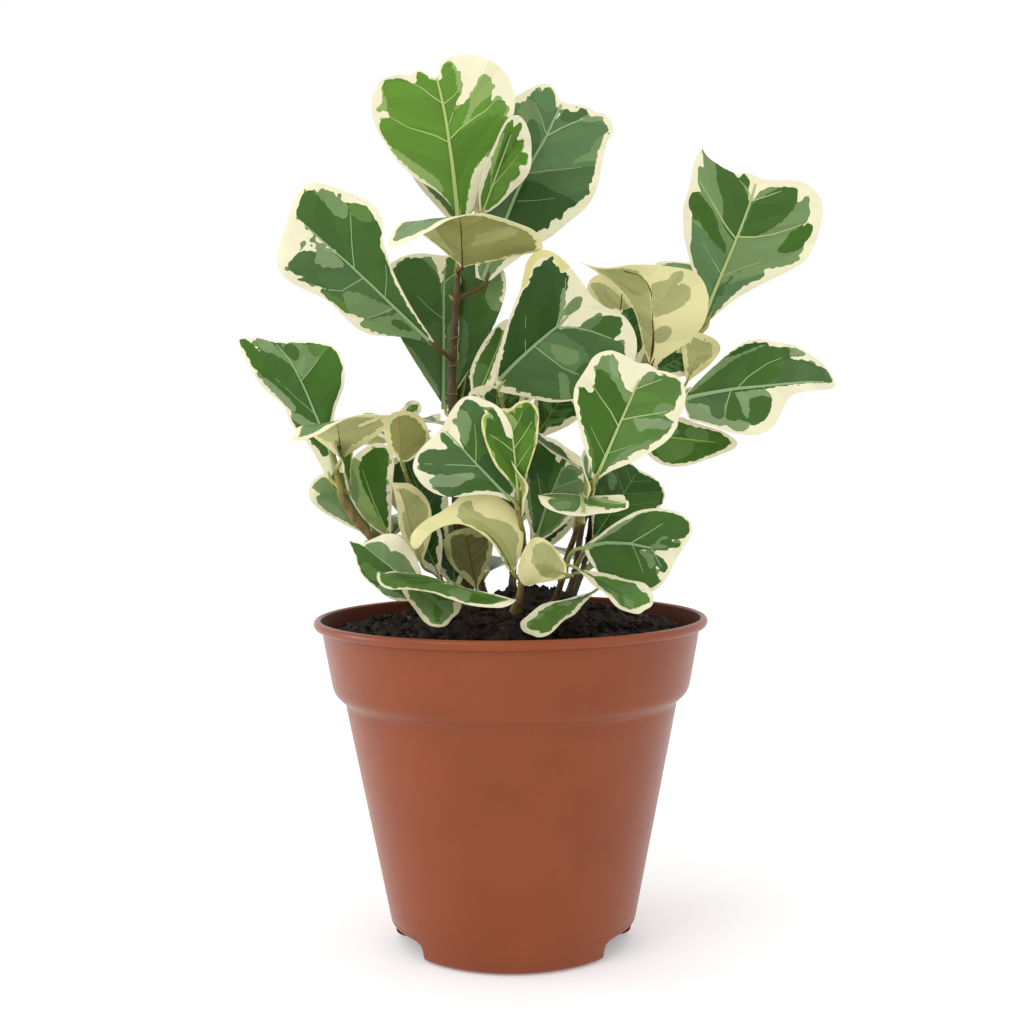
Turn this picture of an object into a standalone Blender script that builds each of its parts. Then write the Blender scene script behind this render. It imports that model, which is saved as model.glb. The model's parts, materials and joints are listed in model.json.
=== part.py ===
"""Potted triangle fig: a small bushy fig with wedge-shaped leaves, cut from
eight rooted shoots in one plastic nursery pot.

Frame: metres, +Z up. The origin is the centre of the pot's flat underside,
+X is to the right and -Y is the front. All sizes below are in millimetres and
are turned into metres when the meshes are made.
"""
import math

import bmesh
import bpy
import numpy as np
from mathutils import Vector

for ob in list(bpy.data.objects):
    bpy.data.objects.remove(ob, do_unlink=True)

MM = 0.001
GAP = 0.3              # clearance between neighbouring pieces

# ------------------------------------------------------------------ pot ----
POT_SIDES = 32
POT_HEIGHT = 125.0
RIM_RADIUS = 75.4      # outside of the rolled lip
LIP_DROP = 4.4         # height of the lip's rounded bead
COLLAR_TOP = 72.3      # collar radius just under the lip
COLLAR_LOW = 68.7      # collar radius where it starts to turn in
COLLAR_Z = 100.2
BODY_TOP = 63.5        # body radius under the collar
BODY_Z = 93.0
BODY_LOW = 47.7        # body radius at the step above the foot
STEP_Z = 10.8
FOOT_RADIUS = 42.4     # edge of the flat underside
WALL = 1.7
FLOOR = 3.0
NOTCH_ANGLES = (-67.5, 67.5, 180.0) # drainage notches, measured from the front
NOTCH_WIDTH = 42.0     # degrees
NOTCH_HEIGHT = 8.6
NOTCH_DEPTH_R = 33.0   # how far in towards the axis a notch reaches

# ----------------------------------------------------------------- soil ----
SOIL_Z = 126.0         # top of the heap, where the stems stand
SOIL_FLAT = 36.0       # radius of the heap's flat top
SOIL_EDGE = 118.0      # level at the pot's wall
SOIL_SIDES = 20

# ---------------------------------------------------------------- stems ----
# Each stem is a smooth curve through stations (x, y, z, radius). The first
# station is the flat cut at the soil, with its root flare.
STEMS = {
    "stem_main": [(-16, 8.6, 126.3, 4.1), (-17.6, 9.2, 136, 2.9), (-20, 10, 165, 2.5),
                  (-22, 10, 205, 2.2), (-20.5, 8, 240, 1.9), (-18, 4, 276, 1.5)],
    "stem_left": [(-28, -6.6, 126.3, 3.7), (-37.5, -8.4, 136, 2.5), (-52, -12, 156, 2.1),
                  (-62, -12, 170, 1.9), (-66, -12, 187, 1.6)],
    "stem_left_inner": [(-24, 4, 126.3, 3.0), (-26.3, 4, 135, 2.2), (-33, -3, 160, 1.9),
                        (-40, -16, 184, 1.4)],
    "stem_low_left": [(-23.5, -22, 126.3, 2.8), (-25.5, -27.5, 131, 2.0), (-28, -33, 137, 1.6)],
    "stem_centre": [(1.5, -19, 126.3, 3.7), (3.6, -23.3, 136, 2.5), (5, -28, 152, 2.1),
                    (3, -37, 171, 1.5)],
    "stem_centre_back": [(0.5, 5.5, 126.3, 3.4), (1, 7, 150, 2.3), (0, 0, 190, 1.9),
                         (-3, -9, 210, 1.5)],
    "stem_right_front": [(15, -13, 126.3, 3.5), (18, -17.5, 136, 2.5), (22, -24, 152, 2.1),
                         (30, -46, 176, 1.5)],
    "stem_right_back": [(22, 14.5, 126.3, 3.8), (25, 15, 138, 2.5), (31, 15, 165, 2.2),
                        (52, 15, 196, 2.0), (66, 12, 219, 1.8), (76, 8, 236, 1.4)],
    "stem_back_left": [(-10, 26, 126.3, 3.4), (-13, 31, 140, 2.3), (-17, 38, 170, 2.0),
                       (-19, 43, 201, 1.4)],
    "stem_back_right": [(23.5, 27.5, 126.3, 3.2), (29.5, 32.5, 140, 2.2), (35, 41, 172, 1.9),
                        (36, 45, 191, 1.4)],
}

# --------------------------------------------------------------- masses ----
# name: (stem, kind, lower height, upper height). A "tip" mass grows on the end
# of its stem, which stops where the mass starts. A "ring" mass sits round a
# leaf node part of the way up, and the stem runs on through it.
MASSES = {
    "leaves_top": ("stem_main", "tip", 256, 277),
    "leaves_top_side": ("stem_main", "ring", 242, 248),
    "leaves_upper_left": ("stem_main", "ring", 219, 225),
    "leaves_main_middle": ("stem_main", "ring", 196, 202),
    "leaves_left_tip": ("stem_left", "tip", 173, 187),
    "leaves_left_low": ("stem_left", "ring", 147, 152),
    "leaves_inner_tip": ("stem_left_inner", "tip", 168, 184),
    "leaves_inner_low": ("stem_left_inner", "ring", 136, 141),
    "leaves_low_left": ("stem_low_left", "tip", 130, 137),
    "leaves_centre_tip": ("stem_centre", "tip", 160, 171),
    "leaves_centre_low": ("stem_centre", "ring", 137, 142),
    "leaves_heart": ("stem_centre_back", "tip", 186, 210),
    "leaves_heart_low": ("stem_centre_back", "ring", 150, 155),
    "leaves_front_tip": ("stem_right_front", "tip", 162, 176),
    "leaves_front_low": ("stem_right_front", "ring", 137, 143),
    "leaves_right_tip": ("stem_right_back", "tip", 225, 236),
    "leaves_right_upper": ("stem_right_back", "ring", 205, 210),
    "leaves_right_middle": ("stem_right_back", "ring", 184, 189),
    "leaves_right_low": ("stem_right_back", "ring", 138, 143),
    "leaves_back_left_tip": ("stem_back_left", "tip", 184, 204),
    "leaves_back_left_low": ("stem_back_left", "ring", 132, 137),
    "leaves_back_right_tip": ("stem_back_right", "tip", 174, 192),
    "leaves_back_right_low": ("stem_back_right", "ring", 134, 139),
}

# --------------------------------------------------------------- leaves ----
PAD = 2.2              # thickness of a leaf pad
PETIOLE = 1.0          # radius of a leaf stalk

# What a leaf is like unless its own line says otherwise. Angles in degrees.
# droop: how far the tip bends back   cup: how far the margins rise
# bend: sideways curve of the midrib  curl: a corner rolled back
# s_: where along the leaf each side is widest   p_: how square its shoulder is
# w_: share of the width each side takes         g_: how full the wedge is
# apex: notch at the tip, a_w its width          d_: how far a shoulder is lowered
PLAIN = dict(droop=15.0, cup_l=12.0, cup_r=12.0, twist=0.0, wave=0.8, waves=2.0,
             phase=0.0, curl_l=0.0, curl_r=0.0, apex=0.03, a_w=0.16,
             s_l=0.74, s_r=0.74, p_l=2.8, p_r=2.8, w_l=1.0, w_r=1.0,
             g_l=1.6, g_r=1.6, d_l=0.0, d_r=0.0, bend=0.0, fold=6.0)

LEAVES = []


def leaf(mass, name, base, lean, nod, roll, length, width, **extra):
    """One leaf: base point, lean (0 up, 90 to the right), nod (towards the
    front), roll about its own midrib (0 shows its face to the front, 180 its
    back), length and greatest width."""
    q = dict(PLAIN)
    q.update(mass=mass, name=name, base=base, lean=lean, nod=nod, roll=roll,
             L=float(length), W=float(width))
    q.update(extra)
    LEAVES.append(q)


def spread(mass, name, base, heading, rise, length, width, tilt=0.0, **extra):
    """A leaf that spreads with its face up. heading: 0 front, 90 right, 180
    back, 270 left; rise: how far above level it points; tilt: turned about
    its own midrib."""
    h, r = math.radians(heading), math.radians(rise)
    a = np.array([math.cos(r) * math.sin(h), -math.cos(r) * math.cos(h), math.sin(r)])
    nod = math.asin(-a[1])
    lean = math.atan2(a[0], a[2])
    e = np.array([math.sin(lean), 0.0, math.cos(lean)])
    n0 = -math.sin(nod) * e - math.cos(nod) * np.array([0.0, 1.0, 0.0])
    b0 = np.cross(a, n0)
    up = np.array([0.0, 0.0, 1.0]) - a[2] * a
    roll = math.degrees(math.atan2(up @ b0, up @ n0)) + tilt
    extra.setdefault("droop", 24.0)
    extra.setdefault("plain", True)
    leaf(mass, name, base, math.degrees(lean), math.degrees(nod), roll, length, width, **extra)


# main stem
leaf("leaves_top", "a1", (-17.5, 4, 276), -2, 6, 0, 59, 56, bend=-14, droop=10, apex=.05,
     cup_l=10, cup_r=10, p_r=3.4, p_l=3.2, s_l=.76, s_r=.78, d_l=.05, g_l=2.2)
leaf("leaves_top", "a2", (-9.5, -1, 279), 20, 8, 40, 38, 26, cup_l=30, cup_r=30, bend=6,
     droop=5, s_l=.58, s_r=.58, apex=0, p_l=1.7, p_r=1.7)
leaf("leaves_top", "a3", (-17, -3, 258.5), 4, 68, 169, 46, 60, cup_l=2, cup_r=2, droop=10,
     curl_r=65, s_l=.5, p_l=1.7)
spread("leaves_top", "a4", (-19, 10, 274), 190, 60, 44, 38)
spread("leaves_top", "a6", (-18, 10, 271), 176, 10, 42, 34)
leaf("leaves_top_side", "a5", (-8, 12, 255.5), 19, -4, 8, 79, 55, droop=12, bend=5,
     s_l=.76, s_r=.8, p_r=3.6, apex=.02, d_l=.08, g_r=2.8)
leaf("leaves_upper_left", "a7", (-29, 0, 229.5), -47, 6, -6, 71, 49, droop=10, cup_l=10,
     cup_r=10, bend=2, s_l=.78, s_r=.8, p_l=3.4, p_r=3.2, apex=.02, d_l=.05)
leaf("leaves_main_middle", "a9", (-25, 16, 205), 0, -5, 0, 64, 50, droop=8, cup_l=10, cup_r=10)
leaf("leaves_main_middle", "a10", (-13, 6, 207), 22, 0, -20, 34, 27, cup_l=25, cup_r=75)
spread("leaves_main_middle", "a8", (-28, 17, 200), 214, 6, 40, 34)
# left stem
leaf("leaves_left_tip", "b1", (-67.5, -12, 179), -14, 5, 0, 60, 37, bend=-24, s_l=.86, s_r=.70,
     p_l=6, p_r=3, w_r=1.05, w_l=.85, d_r=.2, apex=.04)
leaf("leaves_left_tip", "b2", (-62.5, -16, 186), 7, 58, 180, 36, 38, curl_r=60)
spread("leaves_left_tip", "b3", (-70, -6, 188), 178, 18, 40, 34)
leaf("leaves_left_low", "b4", (-46.5, -3, 156.5), -21, 2, 0, 36, 26)
leaf("leaves_left_low", "b5", (-53, 4, 155), -38, 0, 0, 33, 20)
spread("leaves_left_low", "b6", (-50, 1, 152), 186, 22, 42, 34)
# inner left stem
leaf("leaves_inner_tip", "c1", (-40, -19, 185), 0, 30, 180, 26, 20)
leaf("leaves_inner_tip", "c2", (-43, -18, 200), 60, 10, 0, 12, 6, apex=0, p_l=1.7, p_r=1.7)
spread("leaves_inner_tip", "c3", (-41, -10, 190), 183, 18, 30, 24)
leaf("leaves_inner_low", "c4", (-24.5, 6, 146), -22, -1, 0, 46, 26)
leaf("leaves_inner_low", "c5", (-34, -9, 147), -14, 8, 180, 30, 17, p_l=1.7, p_r=1.7, apex=0)
# low left shoot
leaf("leaves_low_left", "d1", (-23, -38, 141), 180, 77, -10, 30, 49)
leaf("leaves_low_left", "d2", (-33, -25, 135), -54, 2, 0, 34, 27, apex=0, s_l=.6, s_r=.6,
     p_l=1.6, p_r=1.6)
leaf("leaves_low_left", "d3", (-42, -36, 144), 122, 20, -35, 28, 17)
# centre stem
leaf("leaves_centre_tip", "e1", (1, -39, 171), -43, 12, 0, 38, 40, g_l=2.2, w_l=1.1)
leaf("leaves_centre_tip", "e2", (3, -43, 174), -5, 8, 0, 32, 20, s_l=.78, s_r=.78, apex=.09,
     p_l=4, p_r=4, d_l=.06)
leaf("leaves_centre_low", "e3", (9.5, -15, 155), 16, 0, 0, 38, 31)
leaf("leaves_centre_low", "e4", (1, -32, 144.5), -22, 10, 180, 40, 24, cup_r=80, bend=105,
     s_l=.7, s_r=.7, w_l=1.2, apex=0, p_l=1.8, p_r=1.8)
# heart of the plant
leaf("leaves_heart", "f1", (-3, -12, 213), 46, 8, 10, 51, 53, droop=14, cup_l=14, cup_r=14,
     w_r=1.25, g_r=2.4, g_l=1.4)
spread("leaves_heart", "f2", (0, 2, 202), 176, 28, 44, 38)
leaf("leaves_heart", "f3", (9, 6, 192), 35, 0, 0, 24, 20)
leaf("leaves_heart", "f6", (-4, -3, 192), -2, 5, 0, 22, 22)
spread("leaves_heart_low", "f5", (2, 14, 158), 165, 35, 38, 32)
leaf("leaves_heart_low", "f4", (-7, 5, 158), -12, 0, 180, 34, 24)
# right front stem
leaf("leaves_front_tip", "g1", (30, -48, 178), 23, 10, 0, 44, 42, p_r=3.4, p_l=3)
leaf("leaves_front_tip", "g2", (28, -29, 180), -53, -4, 75, 28, 18)
leaf("leaves_front_tip", "g3", (25.5, -40, 172.5), 180, 76, 0, 26, 33)
leaf("leaves_front_low", "g4", (27, -34, 153), 90, 10, 0, 38, 33, apex=0, g_l=2)
leaf("leaves_front_low", "g5", (20, -38, 144), -72, 20, 180, 20, 20)
leaf("leaves_front_low", "g6", (24, -38, 146), 116, 30, -60, 31, 19)
# right back stem
leaf("leaves_right_tip", "h1", (77.5, 8, 236.5), 20, 0, 4, 68, 58, apex=.12, a_w=.3, s_l=.62,
     s_r=.72, p_l=6, p_r=3.6, droop=10, d_r=.04, g_r=2.2)
spread("leaves_right_tip", "h2", (75, 14, 237), 172, 52, 42, 36)
leaf("leaves_right_upper", "h3", (55, 0, 221), 22, 33, 190, 46, 48, cup_r=50, bend=50, s_r=.85,
     p_r=5, d_l=.22, apex=0)
leaf("leaves_right_upper", "h4", (66, -9, 207), 82, 8, -6, 60, 42, droop=22, cup_l=8, cup_r=8,
     apex=0, s_l=.5, p_l=1.6, s_r=.42, p_r=1.3, curl_l=25, w_r=1.1, w_l=.9, g_r=2)
spread("leaves_right_upper", "h5", (60, 19, 210), 166, 8, 36, 34)
leaf("leaves_right_middle", "h6", (43, 16, 226), 4, 10, 180, 32, 28)
leaf("leaves_right_middle", "h7", (50, 5, 195), 98, 8, 0, 38, 26)
spread("leaves_right_middle", "h8", (44, 21, 196), 152, 8, 28, 28)
leaf("leaves_right_low", "h9", (32, 2, 153.5), 34, 0, 0, 34, 30)
leaf("leaves_right_low", "h10", (31, -28, 136.8), -114, 37, 66, 34, 18)
spread("leaves_right_low", "h11", (31, 20, 148), 122, 30, 38, 32)
# back left stem
spread("leaves_back_left_tip", "j1", (-19, 45, 201), 185, 70, 44, 40, droop=14)
spread("leaves_back_left_tip", "j2", (-22, 44, 189), 245, 12, 44, 38)
spread("leaves_back_left_tip", "j3", (-14, 46, 192), 150, 18, 42, 36)
spread("leaves_back_left_low", "j4", (-18, 34, 140), 252, 22, 44, 36)
spread("leaves_back_left_low", "j5", (-9, 37, 139), 170, 12, 40, 34)
spread("leaves_back_left_low", "j6", (-16, 37, 144), 212, 46, 34, 28)
# back right stem
spread("leaves_back_right_tip", "k1", (35, 47, 192), 180, 68, 40, 34, droop=14)
spread("leaves_back_right_tip", "k2", (40, 46, 186), 128, 18, 42, 36)
spread("leaves_back_right_low", "k3", (37, 36, 142), 104, 22, 42, 34)
spread("leaves_back_right_low", "k4", (31, 41, 141), 186, 14, 38, 32)
spread("leaves_back_right_low", "k5", (37, 39, 146), 148, 42, 32, 26)


def smooth(t):
    t = np.clip(t, 0.0, 1.0)
    return t * t * (3 - 2 * t)


def half_width(s, side, q):
    """Half width at fraction s of the length: a straight-sided wedge up to the
    shoulder and a rounded cap over it."""
    s0, p, w, g = ((q["s_l"], q["p_l"], q["w_l"], q["g_l"]) if side < 0
                   else (q["s_r"], q["p_r"], q["w_r"], q["g_r"]))
    s = np.clip(s, 0, 1)
    t = np.clip(s / s0, 0, 1)
    low = (1 - (1 - t) ** (g + 0.35)) * np.sqrt(0.55 + 0.45 * t)
    cap = np.clip(1 - np.clip((s - s0) / (1 - s0), 0, 1) ** p, 0, 1) ** (1 / 2.1)
    return w * q["W"] / 2 * np.maximum(np.where(s < s0, low, cap), 0.028)


def apex_line(x, q):
    """Where the blade ends at lateral place x, as a share of the length."""
    return (1 - q["apex"] * np.exp(-(x / (q["a_w"] * q["W"])) ** 2)
            - q["d_l"] * smooth(-x / (0.35 * q["W"]))
            - q["d_r"] * smooth(x / (0.35 * q["W"])))


def midrib(q, s):
    """Points and frames (along, across, out of the face) of the midrib."""
    lean, nod, roll = (math.radians(q[k]) for k in ("lean", "nod", "roll"))
    e = np.array([math.sin(lean), 0.0, math.cos(lean)])
    y = np.array([0.0, 1.0, 0.0])
    a = math.cos(nod) * e - math.sin(nod) * y
    n0 = -math.sin(nod) * e - math.cos(nod) * y
    n = n0 * math.cos(roll) + np.cross(a, n0) * math.sin(roll)
    b = np.cross(a, n)
    k = np.linspace(0, 1, 61)
    th = math.radians(q["droop"]) * (0.25 * k + 0.75 * k ** 2)
    be = math.radians(q["bend"]) * k
    T = ((np.cos(th) * np.cos(be))[:, None] * a - np.sin(th)[:, None] * n
         + (np.cos(th) * np.sin(be))[:, None] * b)
    T /= np.linalg.norm(T, axis=1)[:, None]
    N = (np.cos(th)[:, None] * n + (np.sin(th) * np.cos(be))[:, None] * a
         + (np.sin(th) * np.sin(be))[:, None] * b)
    N -= (N * T).sum(1)[:, None] * T
    N /= np.linalg.norm(N, axis=1)[:, None]
    B = np.cross(T, N)
    tw = math.radians(q["twist"]) * k
    N2 = N * np.cos(tw)[:, None] + B * np.sin(tw)[:, None]
    B2 = np.cross(T, N2)
    M = np.concatenate([[np.zeros(3)],
                        np.cumsum((T[1:] + T[:-1]) / 2 * q["L"] / 60, axis=0)])

    def at(A):
        return np.stack([np.interp(s, k, A[:, i]) for i in range(3)], -1)
    return at(M) + np.asarray(q["base"], float), at(T), at(B2), at(N2)


def blade(q, x, s):
    """Points of the blade at lateral places x (mm) and fractions s."""
    x, s = np.asarray(x, float), np.asarray(s, float)
    M, T, B, N = midrib(q, s.ravel())
    xr, sr = x.ravel(), s.ravel()
    side, ax, half = np.sign(xr), np.abs(xr), q["W"] / 2
    t = ax / half
    cu = np.radians(np.where(side < 0, q["cup_l"], q["cup_r"])) * (0.35 + 0.65 * smooth(sr / 0.5))
    v = math.radians(q["fold"])
    k = np.where(np.abs(cu) < 1e-4, 1e-4, cu)
    lat = side * half * (np.sin(v + k * t) - np.sin(v)) / k
    nor = half * (-np.cos(v + k * t) + np.cos(v)) / k
    nor += (q["wave"] * t ** 2 * np.sin(2 * np.pi * q["waves"] * sr + q["phase"] + side * 1.3)
            * smooth(sr / 0.3))
    down, pull_b, pull_t = np.zeros_like(lat), np.zeros_like(lat), np.zeros_like(lat)
    for sd, c in ((-1, q["curl_l"]), (1, q["curl_r"])):
        if c == 0:
            continue
        c = math.radians(c)
        R = 0.45 * half / abs(c)
        d = (sr - 0.55) * q["L"] * 0.75 + np.where(side * sd >= 0, ax, -ax) * 0.75 - 0.225 * half
        d = np.clip(d, 0, None)
        ang = np.minimum(d / R, abs(c))
        rest = d - R * ang
        out = R * np.sin(ang) + rest * np.cos(ang)
        fall = R * (1 - np.cos(ang)) + rest * np.sin(ang)
        down -= math.copysign(1, c) * fall
        pull_b += sd * (out - d) * 0.7
        pull_t += (out - d) * 0.7
    P = M + B * (lat + pull_b)[:, None] + N * (nor + down)[:, None] + T * pull_t[:, None]
    return P.reshape(x.shape + (3,))


# ------------------------------------------------------------ mesh tools ----
def material(name, colour, rough):
    m = bpy.data.materials.new(name)
    m.use_nodes = True
    p = m.node_tree.nodes["Principled BSDF"]
    p.inputs["Base Color"].default_value = (*colour, 1)
    p.inputs["Roughness"].default_value = rough
    p.inputs["Metallic"].default_value = 0.0
    return m


def make(name, points, faces, mat=None, hide=False, round_off=True):
    me = bpy.data.meshes.new(name)
    me.from_pydata([tuple(float(c) * MM for c in p) for p in points], [], faces)
    bm = bmesh.new()
    bm.from_mesh(me)
    bmesh.ops.recalc_face_normals(bm, faces=bm.faces)
    bm.to_mesh(me)
    bm.free()
    ob = bpy.data.objects.new(name, me)
    bpy.context.scene.collection.objects.link(ob)
    if mat is not None:
        me.materials.append(mat)
    if round_off:
        me.shade_smooth()
        me.set_sharp_from_angle(angle=math.radians(40))
    if hide:
        ob.hide_render = True
        ob.display_type = "WIRE"
    return ob


def join_with(ob, cutter, how="UNION"):
    mod = ob.modifiers.new(how.lower(), "BOOLEAN")
    mod.operation = how
    mod.solver = "EXACT"
    mod.object = cutter


def lathe(profile, sides):
    """Closed ring mesh of a closed profile of (radius, height) pairs that
    starts and ends on the axis."""
    pts, faces, rings = [], [], []
    for r, z in profile:
        if r < 1e-6:
            rings.append([len(pts)])
            pts.append((0, 0, z))
        else:
            rings.append(list(range(len(pts), len(pts) + sides)))
            pts += [(r * math.sin(2 * math.pi * i / sides), -r * math.cos(2 * math.pi * i / sides), z)
                    for i in range(sides)]
    for a, b in zip(rings, rings[1:]):
        for i in range(sides):
            j = (i + 1) % sides
            if len(a) == 1:
                faces.append((a[0], b[i], b[j]))
            elif len(b) == 1:
                faces.append((a[i], a[j], b[0]))
            else:
                faces.append((a[i], a[j], b[j], b[i]))
    return pts, faces


def frame_of(t):
    t = Vector(t).normalized()
    u = t.cross(Vector((0, 1, 0)))
    if u.length < 0.1:
        u = t.cross(Vector((1, 0, 0)))
    u.normalize()
    return t, u, t.cross(u)


def tube(path, radii, sides, level=()):
    """Closed tube along a path. The rings whose numbers are in level lie
    flat instead of square to the path."""
    pts, faces = [], []
    for i, (p, r) in enumerate(zip(path, radii)):
        a, b = path[max(i - 1, 0)], path[min(i + 1, len(path) - 1)]
        t, u, v = frame_of([b[k] - a[k] for k in range(3)])
        if i in level:
            u, v = Vector((u.x, u.y, 0)).normalized(), Vector((-u.y, u.x, 0)).normalized()
        for j in range(sides):
            w = 2 * math.pi * j / sides
            pts.append([p[k] + r * (math.cos(w) * u[k] + math.sin(w) * v[k]) for k in range(3)])
    n = len(path)
    for i in range(n - 1):
        for j in range(sides):
            k = (j + 1) % sides
            faces.append((i * sides + j, i * sides + k, (i + 1) * sides + k, (i + 1) * sides + j))
    faces.append(tuple(range(sides)))
    faces.append(tuple((n - 1) * sides + j for j in range(sides)))
    return pts, faces


def stem_at(name, z):
    """Point and radius of a stem at height z, on a smooth curve through its
    stations."""
    st = STEMS[name]
    z = min(max(z, st[0][2]), st[-1][2])
    i = max(k for k in range(len(st) - 1) if st[k][2] <= z)
    p0, p1 = st[i], st[i + 1]
    pa = st[i - 1] if i > 0 else None
    pb = st[i + 2] if i + 2 < len(st) else None
    h = p1[2] - p0[2]
    t = (z - p0[2]) / h

    def hermite(k):
        m0 = ((p1[k] - pa[k]) / (p1[2] - pa[2]) if pa else (p1[k] - p0[k]) / h) * h
        m1 = ((pb[k] - p0[k]) / (pb[2] - p0[2]) if pb else (p1[k] - p0[k]) / h) * h
        return ((2 * t ** 3 - 3 * t ** 2 + 1) * p0[k] + (t ** 3 - 2 * t ** 2 + t) * m0
                + (-2 * t ** 3 + 3 * t ** 2) * p1[k] + (t ** 3 - t ** 2) * m1)
    return (hermite(0), hermite(1), z), max(hermite(3), 0.8)


def stem_piece(name, z0, z1, step, extra=0.0):
    n = max(2, int(math.ceil((z1 - z0) / step)) + 1)
    zs = [z0 + (z1 - z0) * i / (n - 1) for i in range(n)]
    got = [stem_at(name, z) for z in zs]
    return [g[0] for g in got], [g[1] + extra for g in got]


# ------------------------------------------------------------------ build ----
plastic = material("terracotta_plastic", (0.35, 0.12, 0.055), 0.42)
earth = material("potting_mix", (0.02, 0.012, 0.009), 0.95)
bark = material("bark", (0.09, 0.045, 0.025), 0.7)
green = material("foliage", (0.06, 0.17, 0.05), 0.45)

# pot
outer = [(0, 0), (FOOT_RADIUS, 0), (44.7, 1.0), (46.5, STEP_Z - 1.2), (BODY_LOW, STEP_Z),
         (BODY_TOP, BODY_Z), (67.6, 96.8), (COLLAR_LOW, COLLAR_Z),
         (COLLAR_TOP, POT_HEIGHT - LIP_DROP), (RIM_RADIUS - 0.6, POT_HEIGHT - LIP_DROP + 1.4),
         (RIM_RADIUS, POT_HEIGHT - 2.2), (RIM_RADIUS - 1.2, POT_HEIGHT)]
inner = [(RIM_RADIUS - 2.9, POT_HEIGHT - 0.4), (COLLAR_TOP - WALL, POT_HEIGHT - LIP_DROP),
         (COLLAR_LOW - WALL, COLLAR_Z), (BODY_TOP - WALL, BODY_Z),
         (BODY_LOW - WALL, STEP_Z + 0.6), (NOTCH_DEPTH_R - 3, STEP_Z + 0.2),
         (NOTCH_DEPTH_R - 4, FLOOR), (0, FLOOR)]
pot = make("pot", *lathe(outer + inner, POT_SIDES), plastic)
for k, ang in enumerate(NOTCH_ANGLES):
    a0, a1 = math.radians(ang - NOTCH_WIDTH / 2), math.radians(ang + NOTCH_WIDTH / 2)
    n = 4
    ring = []
    for r in (NOTCH_DEPTH_R, 60.0):
        for z in (-5.0, NOTCH_HEIGHT):
            ring.append([(r * math.sin(a0 + (a1 - a0) * i / n), -r * math.cos(a0 + (a1 - a0) * i / n), z)
                         for i in range(n + 1)])
    pts = [p for row in ring for p in row]
    m = n + 1
    faces = []
    for i in range(n):
        faces += [(i, i + 1, m + i + 1, m + i), (2 * m + i, 3 * m + i, 3 * m + i + 1, 2 * m + i + 1),
                  (m + i, m + i + 1, 3 * m + i + 1, 3 * m + i), (i, 2 * m + i, 2 * m + i + 1, i + 1)]
    faces += [(0, m, 3 * m, 2 * m), (n, 2 * m + n, 3 * m + n, m + n)]
    join_with(pot, make("notch_%d" % k, pts, faces, hide=True, round_off=False), "DIFFERENCE")

# soil: fills the pot and is heaped round the stems, flat where they stand and
# lumpy towards the rim
side = [(0, FLOOR + GAP), (NOTCH_DEPTH_R - 4 - GAP, FLOOR + GAP),
        (NOTCH_DEPTH_R - 3 - GAP, STEP_Z + 0.2 + GAP), (BODY_LOW - WALL - 3 * GAP, STEP_Z + 0.6 + GAP),
        (BODY_TOP - WALL - 3 * GAP, BODY_Z), (COLLAR_LOW - WALL - 3 * GAP, COLLAR_Z),
        (COLLAR_TOP - WALL - 6 * GAP, SOIL_EDGE - 0.5)]
pts, faces = lathe(side, SOIL_SIDES)
last = len(pts) - SOIL_SIDES
rings = [list(range(last, len(pts)))]
for r in (60.0, 48.0, SOIL_FLAT):
    row = []
    for i in range(SOIL_SIDES):
        w = 2 * math.pi * i / SOIL_SIDES
        high = (60.0 - r) / (60.0 - SOIL_FLAT)
        z = SOIL_EDGE + (SOIL_Z - SOIL_EDGE) * high
        if r > SOIL_FLAT:
            z += 0.8 * math.sin(3 * w + r) + 0.5 * math.sin(7 * w + 1.7 * r)
            z -= 4.0 * high * max(0.0, math.cos(w))
        row.append(len(pts))
        pts.append((r * math.sin(w), -r * math.cos(w), z))
    rings.append(row)
rings.append([len(pts)])
pts.append((0, 0, SOIL_Z))
for a, b in zip(rings, rings[1:]):
    for i in range(SOIL_SIDES):
        j = (i + 1) % SOIL_SIDES
        faces.append((a[i], a[j], b[0]) if len(b) == 1 else (a[i], a[j], b[j], b[i]))
soil = make("soil", pts, faces, earth)

# stems: whole where no mass grows on the end, else cut where that mass starts
for name, stations in STEMS.items():
    top = stations[-1][2]
    for stem, kind, lo, hi in MASSES.values():
        if stem == name and kind == "tip":
            top = lo
    path, radii = stem_piece(name, stations[0][2], top, 12.0)
    make(name, *tube(path, radii, 6, level=(0, len(path) - 1)), bark)


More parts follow.
